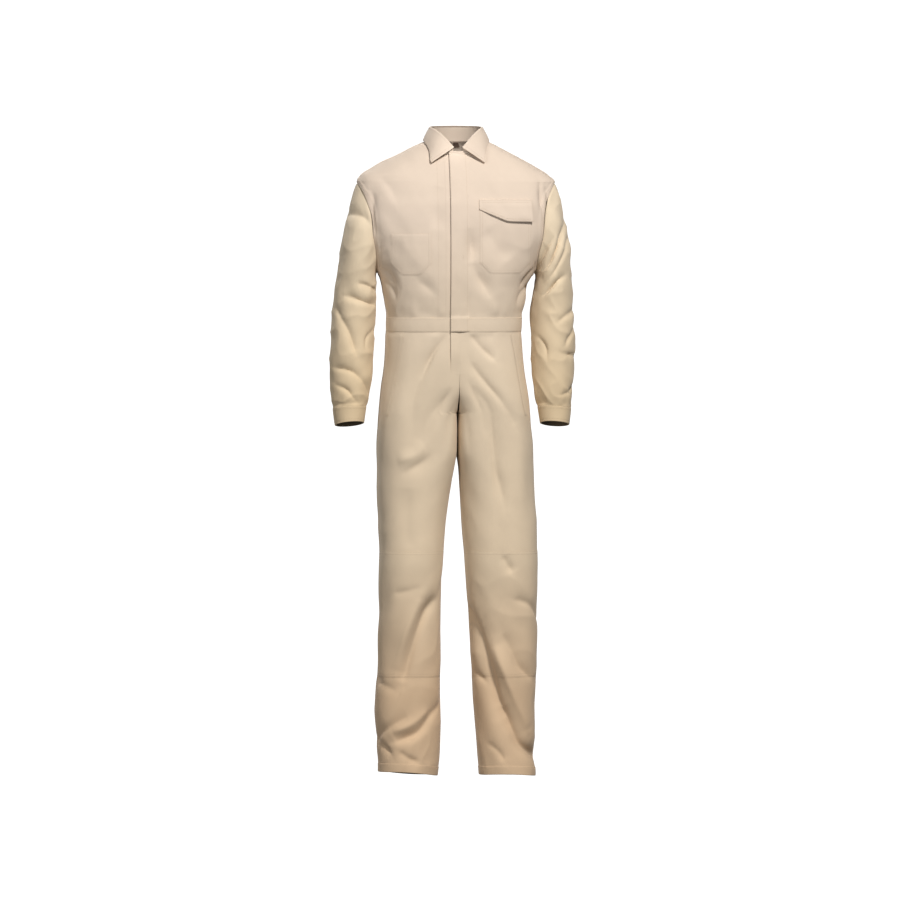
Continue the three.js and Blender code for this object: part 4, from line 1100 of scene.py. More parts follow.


# Painted light by height: the body's beige is yellower and a little darker low down, pinker high up.
body_colour_and_painted_light = [
    (-1.3, (219, 189, 155)),
    (-0.98, (225, 204, 175)),
    (-0.52, (223, 204, 178)),
    (-0.16, (220, 202, 184)),
]
body_twill = twill("body_twill", body_colour_and_painted_light)
# Painted light by height: the sleeves' colour is darker and yellower towards the cuffs.
sleeve_twill = twill("sleeve_twill", [(-0.6, (216, 193, 158)), (-0.15, (224, 206, 179))])
# Painted shade: the legs' inner faces are far darker than the cloth, and darkest low down.
leg_inside_painted_shade = twill("leg_inside_painted_shade", [(-1.3, (150, 128, 104)), (-0.5, (170, 150, 126))])
# Painted shade: the cuffs' inner faces are far darker than the cloth.
cuff_inside_painted_shade = twill("cuff_inside_painted_shade", [(-0.6, (120, 106, 88)), (-0.15, (120, 106, 88))])
label_tape = twill("label_tape", [(0, (124, 102, 88)), (0.05, (124, 102, 88))], weave=2200)
body_thread = thread("body_thread", (196, 174, 148))
sleeve_thread = thread("sleeve_thread", (190, 167, 132))


# Fronts, back and waistband

SEAM_EDGE = [0, 1.0, 2.2, 4.8, 7.6, FELL_WIDTH, FELL_WIDTH + 1.5]
PLAIN_EDGE = [0, 1.5, 4]


def run_of(start, end, step):
    return np.linspace(start, end, max(2, int(round(abs(end - start) / step)) + 1))


def level_list(*parts):
    """Levels from the top down, with none twice."""
    joined = np.concatenate([np.atleast_1d(part) for part in parts])
    ordered = np.unique(np.round(joined, 4))[::-1]
    keep = np.concatenate([[True], np.abs(np.diff(ordered)) > 0.05])
    return ordered[keep]


armhole_levels = ARMHOLE["level"] + ARMHOLE["half"] * np.cos(np.linspace(0, math.pi, 61))
torso_levels = level_list(
    run_of(NECK_LEVEL, SHOULDER_POINT + 9, 2.9),
    [SHOULDER_POINT + 8, SHOULDER_POINT + 3.5, SHOULDER_POINT + 1.5],
    armhole_levels,
    [ARMPIT - 1.5, ARMPIT - 3.5, ARMPIT - 8, ARMPIT - 10],
    run_of(ARMPIT - 13, WAIST_TOP + BAND_GAP / 2, 4.4),
)
waist_levels = level_list(
    [WAIST_TOP + BAND_LAP - x for x in EDGE],
    run_of(WAIST_TOP - 1.5, WAIST_BOTTOM + 1.5, 3.9),
    [WAIST_BOTTOM - BAND_LAP + x for x in EDGE],
)


def side_edge(side, face):
    """The side of a front or back: the shoulder and side seams, and the armhole between."""

    def edge(level):
        half = torso_ring[SIDES[side]](level)
        in_hole = (level < SHOULDER_POINT) & (level > ARMPIT)
        angle = np.where(in_hole, armhole_angle(level, face), QUARTER) - SEAM_GAP / 2 / half
        return side * (angle if face == "front" else math.pi - angle)

    return edge


def centre_edge(side):
    def edge(level):
        half = torso_ring[SIDES[side]](level)
        return side * angle_at(SEAM_GAP / 2 / half, torso_ring["square"](level))

    return edge


def front_relief(grid):
    off = off_armhole(grid.angle, grid.level)
    return band(off, FELL_WIDTH, ARMHOLE_RISE) + stitch_dips(off, FELL_STITCH)


def back_relief(grid):
    """The back laps over the fronts at the side and shoulder seams."""
    off = np.minimum(grid.off["start"], grid.off["end"])
    hole = off_armhole(grid.angle, grid.level)
    beside = (grid.level > SHOULDER_POINT) | (grid.level < ARMPIT)
    seam = np.where(beside, band(off, FELL_WIDTH, FELL_RISE), 0)
    return np.maximum(seam, band(hole, FELL_WIDTH, ARMHOLE_RISE))


def strip_waist(grid):
    above = np.abs(grid.level - (WAIST_TOP + BAND_LAP))
    below = np.abs(grid.level - (WAIST_BOTTOM - BAND_LAP))
    puff = 0.7 * np.sin(math.pi * np.clip(above / (above + below), 0, 1))
    wave = noise(torso.place(grid.angle, grid.level), (22, 30, 30), 17) * 0.4
    return edge_roll(np.minimum(above, below), BAND_THICK) + 0.75 + puff + wave


for side, name in SIDES.items():
    middle, outer = centre_edge(side), side_edge(side, "front")
    front = panel(torso, torso_levels, middle, outer, PLAIN_EDGE, SEAM_EDGE)
    sew("front_" + name, front, front_relief(front))
    waist = panel(torso, waist_levels, middle, outer, PLAIN_EDGE, PLAIN_EDGE)
    sew("waistband_front_" + name, waist, strip_waist(waist), BAND_THICK)


def within_turn(angle):
    """The same angle, from minus to plus half a turn."""
    return np.where(np.asarray(angle) > math.pi, np.asarray(angle) - 2 * math.pi, angle)


class BackTorso(Torso):
    """The chest with angles that run on past half a turn, so that the back is one grid."""

    angles = np.linspace(QUARTER - 0.2, 3 * QUARTER + 0.2, 721)

    def place(self, angle, level):
        return super().place(within_turn(angle), level)

    def drape(self, angle, level):
        return torso.drape(within_turn(angle), level)


back_torso = BackTorso()
back_torso.measure(np.arange(WAIST_BOTTOM, NECK_LEVEL + 3, 2.0))
back_start = side_edge(LEFT, "back")


def back_end(level):
    return 2 * math.pi + side_edge(RIGHT, "back")(level)


back = panel(back_torso, torso_levels, back_start, back_end, SEAM_EDGE, SEAM_EDGE)
sew("back", back, back_relief(back))
waist_back = panel(back_torso, waist_levels, back_start, back_end, PLAIN_EDGE, PLAIN_EDGE)
sew("waistband_back", waist_back, strip_waist(waist_back), BAND_THICK)

# Legs

leg_levels = level_list(
    [WAIST_BOTTOM - BAND_GAP / 2 - x for x in PLAIN_EDGE],
    run_of(WAIST_BOTTOM - 8, CROTCH + 20, 4.6),
    run_of(CROTCH + 20, CROTCH - 20, 3.0),
    run_of(CROTCH - 24, HEM_LEVEL + HEM_WIDTH + 3, 5.0),
    [HEM_LEVEL + x for x in (HEM_WIDTH + 1.3, HEM_WIDTH, HEM_WIDTH - 3, 14, 10, 6, 3, *EDGE)],
)


def leg_edges(side, face):
    leg = legs[side]

    def inset(level):
        return SEAM_GAP / 2 / leg.shape(level)[1]

    def inner(level):
        below = level < CROTCH
        if face == "front":
            return np.where(below, -QUARTER + inset(level), leg.start(level))
        return np.where(below, 3 * QUARTER - inset(level), math.pi - leg.start(level))

    def outer(level):
        return QUARTER + (-inset(level) if face == "front" else inset(level))

    return inner, outer


def leg_relief(grid, face):
    hem = np.abs(grid.level - HEM_LEVEL)
    turned = band(hem, HEM_WIDTH, HEM_RISE) + stitch_dip(hem, HEM_WIDTH - 2)
    roll = edge_roll(hem, CLOTH + 1.0)
    inner, outer = grid.off["start"], grid.off["end"]
    if face == "front":
        pulled = blend(FORK_GROOVE["start"], FORK_GROOVE["full"], grid.level)
        pulled = pulled * blend(CROTCH - 60, CROTCH, grid.level)
        groove = FORK_GROOVE["depth"] * pulled * np.exp(-((inner / FORK_GROOVE["width"]) ** 1.3))
        return turned + roll - groove
    seams = np.maximum(band(outer, FELL_WIDTH, FELL_RISE), band(inner, FELL_WIDTH, FELL_RISE))
    return seams + turned + roll


def keep_side(points, side):
    """Keeps each leg on its own side of the middle line."""
    place, normal = points
    own = place.copy()
    own[..., 0] = side * np.maximum(side * own[..., 0], SEAM_GAP / 2)
    return own, normal


for side, name in SIDES.items():
    for face in ("front", "back"):
        inner, outer = leg_edges(side, face)
        edges = PLAIN_EDGE if face == "front" else SEAM_EDGE
        grid = panel(legs[side], leg_levels, inner, outer, edges, edges)
        hem = np.abs(grid.level - HEM_LEVEL)
        thick = CLOTH + band(hem, HEM_WIDTH, HEM_RISE)
        points = keep_side(grid.points(leg_relief(grid, face)), side)
        sew("leg_" + face + "_" + name, grid, 0, thick, points=points, inside=leg_inside_painted_shade)

# Sleeves and cuffs


def sleeve_grid(side, rows, first, last):
    def start(level):
        return np.full(np.shape(level), -math.pi)

    def end(level):
        return np.full(np.shape(level), math.pi) - SEAM_GAP / sleeve_ring["front"](level)

    return panel(sleeves[side], rows, start, end, first, last, 3.6)


def row_at(side, row, distance):
    """The row a distance down the sleeve from another."""
    runs = np.linspace(0, CUFF_END, 301)
    lengths = sleeves[side].run(runs)
    return np.interp(sleeves[side].run(row) + distance, lengths, runs)


for side, name in SIDES.items():
    sleeve_rows = np.unique(np.concatenate([
        np.linspace(0, CUFF_ROW - 0.2, 156),
        [CUFF_ROW - SEAM_ROW - x for x in (0, 0.02, 0.06, 0.12)],
    ]))
    grid = sleeve_grid(side, sleeve_rows, SEAM_EDGE, PLAIN_EDGE)
    relief = band(grid.off["start"], FELL_WIDTH, FELL_RISE)
    relief = relief * blend(0, 0.4, grid.level) * (1 - blend(CUFF_ROW - 0.5, CUFF_ROW - 0.1, grid.level))
    relief = relief - 2.4 * (1 - blend(0, 0.3, grid.level))
    sew("sleeve_" + name, grid, relief, tube=True, look=sleeve_twill)
    first = CUFF_ROW + SEAM_ROW
    cuff_rows = np.unique(np.concatenate([
        [row_at(side, first, x) for x in EDGE],
        np.linspace(row_at(side, first, 2.5), row_at(side, CUFF_END, -2.5), 10),
        [row_at(side, CUFF_END, -x) for x in EDGE],
    ]))
    cuff = sleeve_grid(side, cuff_rows, PLAIN_EDGE, PLAIN_EDGE)
    top = sleeves[side].run(cuff.level) - sleeves[side].run(first)
    low = sleeves[side].run(CUFF_END) - sleeves[side].run(cuff.level)
    roll = edge_roll(np.minimum(np.abs(top), np.abs(low)), DOUBLE) + 0.9
    sew("cuff_" + name, cuff, roll, DOUBLE + 0.4, tube=True, look=sleeve_twill, inside=cuff_inside_painted_shade)

# Collar


def neck_turns(count):
    """Angles round the neck, from the left front edge by the back to the right one."""
    half = COLLAR_START + (180 - COLLAR_START) * np.linspace(0, 1, count) ** 1.15
    return np.concatenate([half, 360 - half[-2::-1]])


def split_turn(turn):
    side = np.where(turn <= 180, LEFT, RIGHT)
    return side, np.where(turn <= 180, turn, 360 - turn)


def fold_line(turn):
    side, own = split_turn(turn)
    angle = np.radians(own)
    depth = np.where(own < 90, COLLAR_TOP["front"], COLLAR_TOP["back"])
    return vector(side * COLLAR_TOP["half"] * np.sin(angle), -depth * np.cos(angle), collar_ring["top"](own))


def collar_frame(turn):
    """The fold's own directions: out from the neck, up across the fold line, and its core."""
    side, own = split_turn(turn)
    out = vector(side * np.sin(np.radians(own)), -np.cos(np.radians(own)), 0)
    along = unit(fold_line(turn + 1) - fold_line(turn - 1))
    out = unit(out - along * np.sum(out * along, axis=-1, keepdims=True))
    up = np.cross(along, out)
    up = np.where(up[..., 2:3] < 0, -up, up)
    return out, up, fold_line(turn) - up * COLLAR_ROLL


def collar_edge(turn):
    side, own = split_turn(turn)
    angle = side * np.radians(collar_ring["turn"](own))
    point, normal = torso.base(angle, collar_ring["level"](own))
    return point + normal * (COLLAR_LIFT + 2.4 * (1 - blend(20, 60, own)))[..., None]


def free_normals(points, toward):
    down = np.gradient(points, axis=0)
    across = np.gradient(points, axis=1)
    normal = unit(np.cross(down, across))
    return np.where(np.sum(normal * toward, axis=-1, keepdims=True) < 0, -normal, normal)


turns = neck_turns(46)
collar_out, collar_up, collar_core = collar_frame(turns)
falls = np.concatenate([np.linspace(0, 1, 15)[1:-1], [0.975, 0.99, 1]])
lines = []
for tilt in np.radians(np.linspace(-30, 85, ROLL_ROWS)):
    turned = collar_out * COLLAR_ROLL * math.sin(tilt) + collar_up * COLLAR_ROLL * math.cos(tilt)
    lines.append(collar_core + turned)
roll_end = lines[-1]
for share in falls:
    sag = COLLAR_BULGE * math.sin(math.pi * share)
    lines.append(roll_end + (collar_edge(turns) - roll_end) * share + collar_out * sag)
fall = np.array(lines)
rolled = np.arange(len(fall))[:, None, None] < ROLL_ROWS
toward = np.where(rolled, collar_out + collar_up, collar_out + 0.3 * collar_up)
fall_normals = free_normals(fall, toward)
sew("collar_fall", None, 0, DOUBLE, points=(fall, fall_normals))

side_sign, own_turn = split_turn(turns)
neck = torso.place(side_sign * np.radians(own_turn), np.full(turns.shape, float(NECK_LEVEL)))
neck[:, 2] += SEAM_GAP
stand_top = collar_core + collar_up * 0.5 - collar_out * 0.5
stand = np.array([neck + (stand_top - neck) * share for share in np.linspace(0, 1, 9)])
stand_normals = free_normals(stand, np.broadcast_to(collar_out, stand.shape))
sew("collar_stand", None, 0, points=(stand, stand_normals))

# Label inside the back of the neck
label_half = float(torso_ring["left"](NECK_LEVEL))
label_x = LABEL["off"] + np.linspace(-1, 1, 9) * LABEL["half"]
label_levels = np.linspace(LABEL["top"], LABEL["bottom"], 7)
label_angle, label_level = np.meshgrid(math.pi - np.arcsin(label_x / label_half), label_levels)
label_grid = Grid(back_torso, label_angle, label_level, None)
label_place, label_normal = back_torso.base(label_angle, label_level)
label_place = label_place - label_normal * (SOLID_CLOTH + LAY)
sew("neck_label", label_grid, 0, LABEL["thick"], points=(label_place, label_normal), look=label_tape)


# Pieces that lie on the panels


def thinned(off):
    """Lift and thickness of a patch that is pressed thin at its edges."""
    lift = 0.45 + (PATCH_LIFT - 0.45) * blend(0, 5, off)
    return lift, np.minimum(PATCH_THICK, lift - 0.3)


def across_torso(side):
    def angle(x, level):
        half = torso_ring[SIDES[side]](level)
        return side * angle_at(x / half, torso_ring["square"](level))

    return angle


def across_leg(side):
    def angle(x, level):
        middle, half = legs[side].shape(level)
        return legs[side].turned((x - middle) / half, level)

    return angle


def columns_between(low, high, first, last, step=MESH_STEP):
    return spaced(low, high, first, last, count_for(abs(high - low), first, last, step)).ravel()


def from_sides(xs, shape):
    return np.broadcast_to(np.minimum(np.abs(xs - xs[0]), np.abs(xs - xs[-1])), shape)


POCKET_EDGE = [*EDGE, 2.0, 3.2, 6, 7.5, 9]
FLAP_EDGE = POCKET_EDGE[:6]
FREE_EDGE = POCKET_EDGE[:5]
JOINED_EDGE = [0, 1.2, 3, 4.5, 6]
POCKETS = table(
    "name side low high top bottom corner hem",
    ("chest_pocket_left", LEFT, 46, 173, -128, -292, 24, 20),
    ("chest_pocket_right", RIGHT, 68, 163, -197, -296, 26, 22),
)


def chest_pocket(name, side, low, high, top, bottom, corner, hem):
    xs = columns_between(low, high, POCKET_EDGE, POCKET_EDGE)
    off = np.minimum(xs - low, high - xs)
    bottoms = bottom + corner * (1 - blend(0, 30, off))
    grid = patch(torso, side, xs, top, bottoms, POCKET_EDGE, POCKET_EDGE, across_torso(side))
    sides = from_sides(xs, grid.level.shape)
    above, below = grid.off["start"], grid.off["end"]
    edge = np.minimum(sides, below)
    puff = 1.3 * blend(6, 44, edge) * blend(-25, 30, above)
    mouth = band(above, hem, 0.3) + stitch_dip(above, hem - 1.6)
    rim, thick = thinned(np.minimum(edge, above))
    lift = rim + puff + mouth + stitch_dips(edge, EDGE_STITCH, SOFT_DIP)
    sew(name, grid, lift, thick)


for row in POCKETS:
    chest_pocket(**row)

flap_xs = columns_between(*FLAP_SPAN, POCKET_EDGE, POCKET_EDGE)
flap_bottom = np.interp(flap_xs, [46, 78, 110, 122, 173], [-139, -153, -166.5, -168, -168.5])
flap = patch(torso, LEFT, flap_xs, FLAP_TOP, flap_bottom, POCKET_EDGE, FLAP_EDGE, across_torso(LEFT), 4.0)
flap_sides = from_sides(flap_xs, flap.level.shape)
flap_free = blend(0, 18, flap.off["start"]) * (0.25 + 0.75 * blend(46, 84, flap_xs))
flap_lift = LAY + DOUBLE + flap_free * (2.6 + 3.4 * blend(10, 46, flap.off["start"]))
flap_edge = np.minimum(flap_sides, flap.off["end"])
flap_lift = flap_lift + stitch_dips(flap_edge, EDGE_STITCH)
flap_lift = flap_lift + edge_roll(np.minimum(flap_edge, flap.off["start"]), DOUBLE)
flap_lift = flap_lift + noise(torso.place(flap.angle, flap.level), (30, 30, 26), 9) * 0.9 * flap_free
sew("chest_pocket_flap_left", flap, flap_lift, DOUBLE)

# Placket over the closure. Its free edge is on the wearer's right, and on the left it runs out
# into the front that it is part of.
placket_x = columns_between(-PLACKET_HALF, PLACKET_HALF, FREE_EDGE, JOINED_EDGE, 4.0)
placket_top, placket_bottom = float(NECK_LEVEL + 9), WAIST_BOTTOM + BAND_GAP / 2


def strip_grid(xs, levels):
    level = np.broadcast_to(levels[:, None], (len(levels), len(xs)))
    return level, np.broadcast_to(xs, level.shape)


placket_levels = level_list(
    run_of(placket_top, WAIST_TOP + 6, 4.5),
    run_of(WAIST_TOP + 5, WAIST_BOTTOM + 3.5, 2.2),
    [placket_bottom + x for x in (3, 2, *EDGE)],
)
level, x = strip_grid(placket_x, placket_levels)
half = np.where(x < 0, torso_ring["right"](level), torso_ring["left"](level))
placket_angle = angle_at(x / half, torso_ring["square"](level))
placket = Grid(torso, placket_angle, level, None)
free = x + PLACKET_HALF
joined = 1 - blend(-6, 21.8, x)
over_band = blend(WAIST_TOP + 7, WAIST_TOP - 1, level) * DOUBLE
below = level - placket_bottom
placket_lift = 0.05 + (LAY + DOUBLE + 2.6) * joined + over_band
placket_lift = placket_lift + stitch_dip(x, 17, SOFT_DIP) + edge_roll(np.minimum(free, below), DOUBLE)
placket_lift = placket_lift + noise(torso.place(placket_angle, level), (40, 40, 46), 19) * 0.5
sew("placket", placket, placket_lift, DOUBLE)

# The fly's flap goes on below it, over both legs.
fly_x = np.concatenate([
    columns_between(-PLACKET_HALF, -SEAM_GAP, FREE_EDGE, [0, 1.5], 4.0),
    columns_between(SEAM_GAP, PLACKET_HALF, [0, 1.5], JOINED_EDGE, 4.0),
])
fly_levels = level_list(run_of(WAIST_BOTTOM - 1.2, FLY_END + 3.5, 4.0), [FLY_END + x for x in (2.4, *EDGE)])
level, x = strip_grid(fly_x, fly_levels)
place = np.empty((*x.shape, 3))
normal = np.empty_like(place)
for side in SIDES:
    own = x < 0 if side == RIGHT else x > 0
    angle = across_leg(side)(np.abs(x), level)
    closed = (1 - blend(-14, 14, x)) * blend(FLY_END, FLY_END + 60, level)
    lift = 0.05 + (LAY + CLOTH + 2.2) * closed
    lift = lift + edge_roll(np.minimum(x + PLACKET_HALF, level - FLY_END), CLOTH)
    points, normals = legs[side].surface(angle, level, lift)
    place[own], normal[own] = points[own], normals[own]
sew("fly_flap", None, 0, points=(place, normal))

# Slanted side pockets and knee patches
for side, name in SIDES.items():
    leg = legs[side]
    scale = 1.02 if side == RIGHT else 0.97
    widths = np.array([*EDGE, 2, 4, 6, 8, 10, 11, 12.1, 12.65, SLANT["width"]])
    levels = level_list(
        [SLANT["top"] - x for x in (*EDGE, 2)],
        run_of(SLANT["top"] - 6, SLANT["bottom"] + 6, 4.6),
        [SLANT["bottom"] + x for x in (*EDGE, 2)],
    )
    down = (levels - SLANT["top"]) / (SLANT["bottom"] - SLANT["top"])
    mouth_x = (SLANT["top_x"] + down * (SLANT["bottom_x"] - SLANT["top_x"])) * scale
    mouth = leg.girth(across_leg(side)(mouth_x, levels), levels)
    angle = np.array([
        np.interp(m + widths, leg.ring_lengths(z), leg.angles) for m, z in zip(mouth, levels)
    ])
    grid = Grid(leg, angle, np.broadcast_to(levels[:, None], angle.shape), None)
    off_ends = np.minimum(SLANT["top"] - grid.level, grid.level - SLANT["bottom"])
    edge = np.minimum(np.minimum(widths, SLANT["width"] - widths), off_ends)
    rim, thick = thinned(edge)
    mouth = 0.5 * np.exp(-((widths / 4) ** 2))
    sew("side_pocket_welt_" + name, grid, rim + mouth, thick)

    inner, outer = leg_edges(side, "front")
    knee_levels = level_list(
        [KNEE["top"] - x for x in POCKET_EDGE],
        run_of(KNEE["top"] - 13, KNEE["bottom"] + 13, 4.8),
        [KNEE["bottom"] + x for x in POCKET_EDGE],
    )
    grid = panel(leg, knee_levels, inner, outer, PLAIN_EDGE, PLAIN_EDGE)
    ends = np.minimum(KNEE["top"] - grid.level, grid.level - KNEE["bottom"])
    rim, thick = thinned(ends)
    lift = rim + stitch_dips(ends, EDGE_STITCH, SOFT_DIP) + 0.5 * blend(8, 40, ends)
    sew("knee_patch_" + name, grid, lift, thick)

# Stitching

STITCH = dict(length=3.0, pitch=3.8, width=0.55, rise=0.4)
STITCH_LIFT = 0.12

# Rows and columns of the pieces' grids that carry stitches
FELL_COLUMNS = (2, 4, -3, -5)
SLEEVE_COLUMNS = (2, 4)
POCKET_LINES = (3, 6)
KNEE_ROWS = (3, 6, -4, -7)
BAND_ROWS = (3, -4)
CUFF_ROWS = (4, -5)
HEM_ROW = -9


def stitch_tree():
    """Lays one stitch after another along each line, upright on the cloth."""
    tree = bpy.data.node_groups.new("stitch_row", "GeometryNodeTree")
    face = tree.interface
    face.new_socket("Lines", in_out="INPUT", socket_type="NodeSocketGeometry")
    sockets = {}
    for label in ("pitch", "length", "width", "rise"):
        sockets[label] = face.new_socket(label, in_out="INPUT", socket_type="NodeSocketFloat").identifier
    sockets["thread"] = face.new_socket("thread", in_out="INPUT", socket_type="NodeSocketMaterial").identifier
    face.new_socket("Stitches", in_out="OUTPUT", socket_type="NodeSocketGeometry")

    def add(kind, **settings):
        node = tree.nodes.new(kind)
        for key, value in settings.items():
            setattr(node, key, value)
        return node

    join = tree.links.new
    given = add("NodeGroupInput")
    curve = add("GeometryNodeMeshToCurve")
    join(given.outputs["Lines"], curve.inputs[0])
    spread = add("GeometryNodeResampleCurve", mode="LENGTH")
    join(curve.outputs[0], spread.inputs["Curve"])
    join(given.outputs["pitch"], spread.inputs["Length"])
    bead = add("GeometryNodeMeshUVSphere")
    bead.inputs["Segments"].default_value = 6
    bead.inputs["Rings"].default_value = 3
    bead.inputs["Radius"].default_value = 0.5
    size = add("ShaderNodeCombineXYZ")
    join(given.outputs["length"], size.inputs[0])
    join(given.outputs["width"], size.inputs[1])
    join(given.outputs["rise"], size.inputs[2])
    shape = add("GeometryNodeTransform")
    join(bead.outputs["Mesh"], shape.inputs["Geometry"])
    join(size.outputs[0], shape.inputs["Scale"])
    along = add("GeometryNodeInputTangent")
    up = add("GeometryNodeInputNamedAttribute", data_type="FLOAT_VECTOR")
    up.inputs["Name"].default_value = "up"
    turn = add("FunctionNodeAlignRotationToVector", axis="X")
    join(along.outputs[0], turn.inputs["Vector"])
    stand = add("FunctionNodeAlignRotationToVector", axis="Z", pivot_axis="X")
    join(turn.outputs[0], stand.inputs["Rotation"])
    join(up.outputs[0], stand.inputs["Vector"])
    place = add("GeometryNodeInstanceOnPoints")
    join(spread.outputs[0], place.inputs["Points"])
    join(shape.outputs[0], place.inputs["Instance"])
    join(stand.outputs[0], place.inputs["Rotation"])
    real = add("GeometryNodeRealizeInstances")
    join(place.outputs[0], real.inputs[0])
    dye = add("GeometryNodeSetMaterial")
    join(real.outputs[0], dye.inputs["Geometry"])
    join(given.outputs["thread"], dye.inputs["Material"])
    result = add("NodeGroupOutput")
    join(dye.outputs[0], result.inputs[0])
    return tree, sockets


stitch_group, stitch_sockets = stitch_tree()


def stitches(name, lines, material, slot, **changed):
    """Rows of stitches. Each line is its points and the outward directions there."""
    verts = np.concatenate([place for place, normal in lines])
    ups = np.concatenate([normal for place, normal in lines])
    edges, start = [], 0
    for place, normal in lines:
        edges += [(i, i + 1) for i in range(start, start + len(place) - 1)]
        start += len(place)
    mesh = bpy.data.meshes.new(name)
    mesh.from_pydata((verts + ups * STITCH_LIFT) * MM, edges, [])
    mesh.attributes.new("up", "FLOAT_VECTOR", "POINT").data.foreach_set("vector", ups.ravel())
    rows = bpy.data.objects.new(name, mesh)
    bpy.context.scene.collection.objects.link(rows)
    modifier = rows.modifiers.new("rows", "NODES")
    modifier.node_group = stitch_group
    for label, value in {**STITCH, **changed}.items():
        modifier[stitch_sockets[label]] = value * MM
    modifier[stitch_sockets["thread"]] = material
    made = bpy.data.meshes.new_from_object(rows.evaluated_get(bpy.context.evaluated_depsgraph_get()))
    rows.modifiers.remove(modifier)
    rows.data = made
    made.name = name
    made.polygons.foreach_set("use_smooth", np.ones(len(made.polygons), bool))
    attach(rows, BODY)


def down_piece(name, *columns):
    """Lines down a piece, along its grid's columns."""
    place, normal = laid[name]
    return [(place[:, c], normal[:, c]) for c in columns]


def across_piece(name, *rows):
    place, normal = laid[name]
    return [(place[r], normal[r]) for r in rows]


def torso_line(angles, levels, lift):
    return torso.surface(np.asarray(angles, float), np.asarray(levels, float), lift)


seam_rows = down_piece("back", *FELL_COLUMNS)
for side, name in SIDES.items():
    round_hole = np.linspace(0.02, 2 * math.pi - 0.02, 140)
    for grow in FELL_STITCH:
        seam_rows.append(torso_line(*armhole_spot(side, round_hole, grow), ARMHOLE_RISE))
    seam_rows += down_piece("leg_back_" + name, *FELL_COLUMNS)
    for face in ("front", "back"):
        seam_rows += across_piece("leg_" + face + "_" + name, HEM_ROW)
    seam_rows += across_piece("knee_patch_" + name, *KNEE_ROWS)
    seam_rows += down_piece("side_pocket_welt_" + name, 3)
    seam_rows += across_piece("waistband_front_" + name, *BAND_ROWS)
stitches("seam_stitching", seam_rows, body_thread, "body_cloth")

pocket_rows = []
for name in ("chest_pocket_left", "chest_pocket_right"):
    place, normal = laid[name]
    rows, columns = place.shape[:2]
    for i in POCKET_LINES:
        down = slice(1, rows - 1 - i)
        pocket_rows += [(place[down, i], normal[down, i]), (place[down, -1 - i], normal[down, -1 - i])]
        pocket_rows.append((place[-1 - i, i:-i], normal[-1 - i, i:-i]))
place, normal = laid["chest_pocket_flap_left"]
for i in POCKET_LINES:
    for r in (-min(i + 1, len(FLAP_EDGE)), i):
        pocket_rows.append((place[r, i:-i], normal[r, i:-i]))
stitches("pocket_stitching", pocket_rows, body_thread, "body_cloth")

closure_rows = down_piece("placket", *BAND_ROWS)
for x in (-34, -52):
    level = np.linspace(NECK_LEVEL - 4, WAIST_TOP + 4, 90)
    angle = angle_at(x / torso_ring["right"](level), torso_ring["square"](level))
    closure_rows.append(torso_line(angle, level, 0))
closure_rows += across_piece("placket", -5)
closure_rows += across_piece("waistband_back", *BAND_ROWS)
place, normal = laid["collar_fall"]
closure_rows.append((place[-4, 1:-1], normal[-4, 1:-1]))
for c in (2, -3):
    closure_rows.append((place[ROLL_ROWS:-2, c], normal[ROLL_ROWS:-2, c]))
stitches("closure_stitching", closure_rows, body_thread, "body_cloth")

arm_rows = []
for name in SIDES.values():
    arm_rows += down_piece("sleeve_" + name, *SLEEVE_COLUMNS)
    arm_rows += across_piece("cuff_" + name, *CUFF_ROWS)
stitches("sleeve_stitching", arm_rows, sleeve_thread, "sleeve_cloth")


def bartack(x, z, tall, wide=2.4):
    """A short, dense bar of thread, run zigzag."""
    lines = []
    for shift in np.linspace(-wide / 2, wide / 2, 4):
        level = np.linspace(z - tall / 2, z + tall / 2, 6)
        angle = angle_at((x + shift) / torso_ring["left"](level), torso_ring["square"](level))
        over = LAY + DOUBLE if abs(x) < PLACKET_HALF else DOUBLE
        lines.append(torso_line(angle, level, over))
    return lines


tacks = bartack(6, -198, 9) + bartack(6, -251, 9) + bartack(48, -120, 8) + bartack(170, -120, 8)
stitches("bartacks", tacks, body_thread, "body_cloth", pitch=1.0, length=1.2, width=0.7)

# Wall, lights and camera

PICTURE_WIDTH = 2.16
CAMERA_DISTANCE = 18.0
CAMERA_AZIMUTH = math.radians(-4.5)
CAMERA_HEIGHT = math.radians(1.5)
LOOK_AT = (-0.0144, 0.0, -0.715)
WALL_DISTANCE = 21


def backdrop():
    """A plain white wall behind, as in the photo, where the suit stands on nothing."""
    verts = [(x, WALL_DISTANCE, z) for x, z in ((-6, -8), (6, -8), (6, 6), (-6, 6))]
    mesh = bpy.data.meshes.new("studio_wall")
    mesh.from_pydata(verts, [], [(0, 1, 2, 3)])
    wall = bpy.data.objects.new("studio_wall", mesh)
    bpy.context.scene.collection.objects.link(wall)
    f = Finish("white_wall")
    place = f.add("ShaderNodeTexCoord", output=OBJECT_SPACE)
    grain = f.add("ShaderNodeTexNoise", None, Vector=place, Scale=30.0)
    base = mix_colour(f, grain, (0.9, 0.9, 0.9, 1), (0.92, 0.92, 0.92, 1))
    shader = f.add("ShaderNodeBsdfPrincipled", None, Base_Color=base)
    shader.output.node.inputs["Roughness"].default_value = 0.9
    shader.output.node.inputs["Emission Color"].default_value = (1, 1, 1, 1)
    shader.output.node.inputs["Emission Strength"].default_value = 1.0
    mesh.materials.append(f.surface(shader))


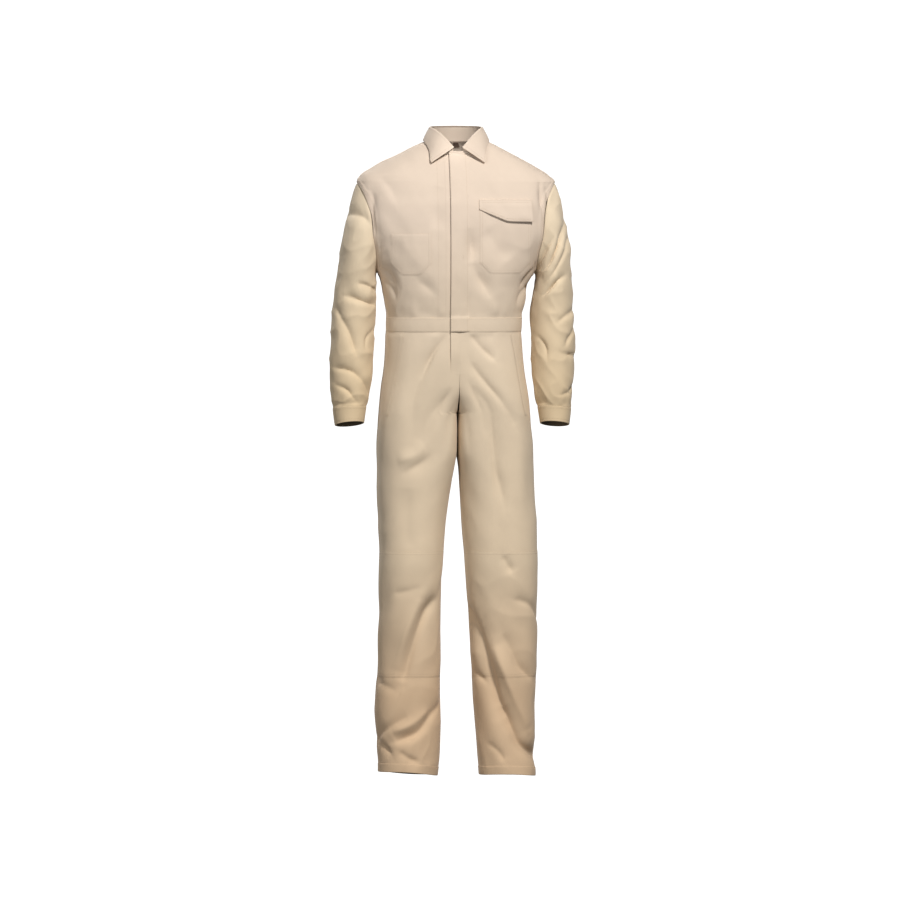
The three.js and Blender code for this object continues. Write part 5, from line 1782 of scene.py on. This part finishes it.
def hang(name, light, place, target):
    """Puts a light in its place, aimed at a target."""
    lamp = bpy.data.objects.new(name, light)
    lamp.location = place
    aim = np.array(target) - np.array(place)
    lamp.rotation_euler = Vector(aim).to_track_quat("-Z", "Y").to_euler()
    bpy.context.scene.collection.objects.link(lamp)


def soft_light(name, place, size, power_watts, colour=(1, 1, 1)):
    light = bpy.data.lights.new(name, "AREA")
    light.shape = "RECTANGLE"
    light.size, light.size_y = size
    light.energy = power_watts
    light.color = colour
    hang(name, light, place, LOOK_AT)


def beam(name, place, target, power_watts):
    """A narrow beam from the front, which reaches the inside of the neck."""
    light = bpy.data.lights.new(name, "SPOT")
    light.energy = power_watts
    light.spot_size = math.radians(1.0)
    light.spot_blend = 1.0
    light.shadow_soft_size = 0.03
    hang(name, light, place, target)


def camera():
    lens = bpy.data.cameras.new("photo_view")
    lens.lens = lens.sensor_width * CAMERA_DISTANCE / PICTURE_WIDTH
    lens.clip_end = 60
    view = bpy.data.objects.new("photo_view", lens)
    away = np.array([
        math.sin(CAMERA_AZIMUTH) * math.cos(CAMERA_HEIGHT),
        -math.cos(CAMERA_AZIMUTH) * math.cos(CAMERA_HEIGHT),
        math.sin(CAMERA_HEIGHT),
    ])
    view.location = np.array(LOOK_AT) + away * CAMERA_DISTANCE
    view.rotation_euler = (QUARTER - CAMERA_HEIGHT, 0, CAMERA_AZIMUTH)
    bpy.context.scene.collection.objects.link(view)
    bpy.context.scene.camera = view


backdrop()
soft_light("key", (1.5, -4.5, 3.9), (0.9, 1.0), 405, (1, 0.985, 0.965))
soft_light("fill", (-3.0, -4.8, 0.3), (1.8, 2.4), 74)
soft_light("back", (-2.4, 5.0, 2.6), (1.6, 1.6), 170)
beam("neck_light", (-0.15, -3.6, 0.22), (-0.003, 0.05, 0.003), 260)
world = bpy.data.worlds.new("studio")
world.use_nodes = True
world.node_tree.nodes["Background"].inputs["Color"].default_value = (1, 1, 1, 1)
world.node_tree.nodes["Background"].inputs["Strength"].default_value = 0.16
bpy.context.scene.world = world
bpy.context.scene.view_settings.view_transform = "Standard"
camera()
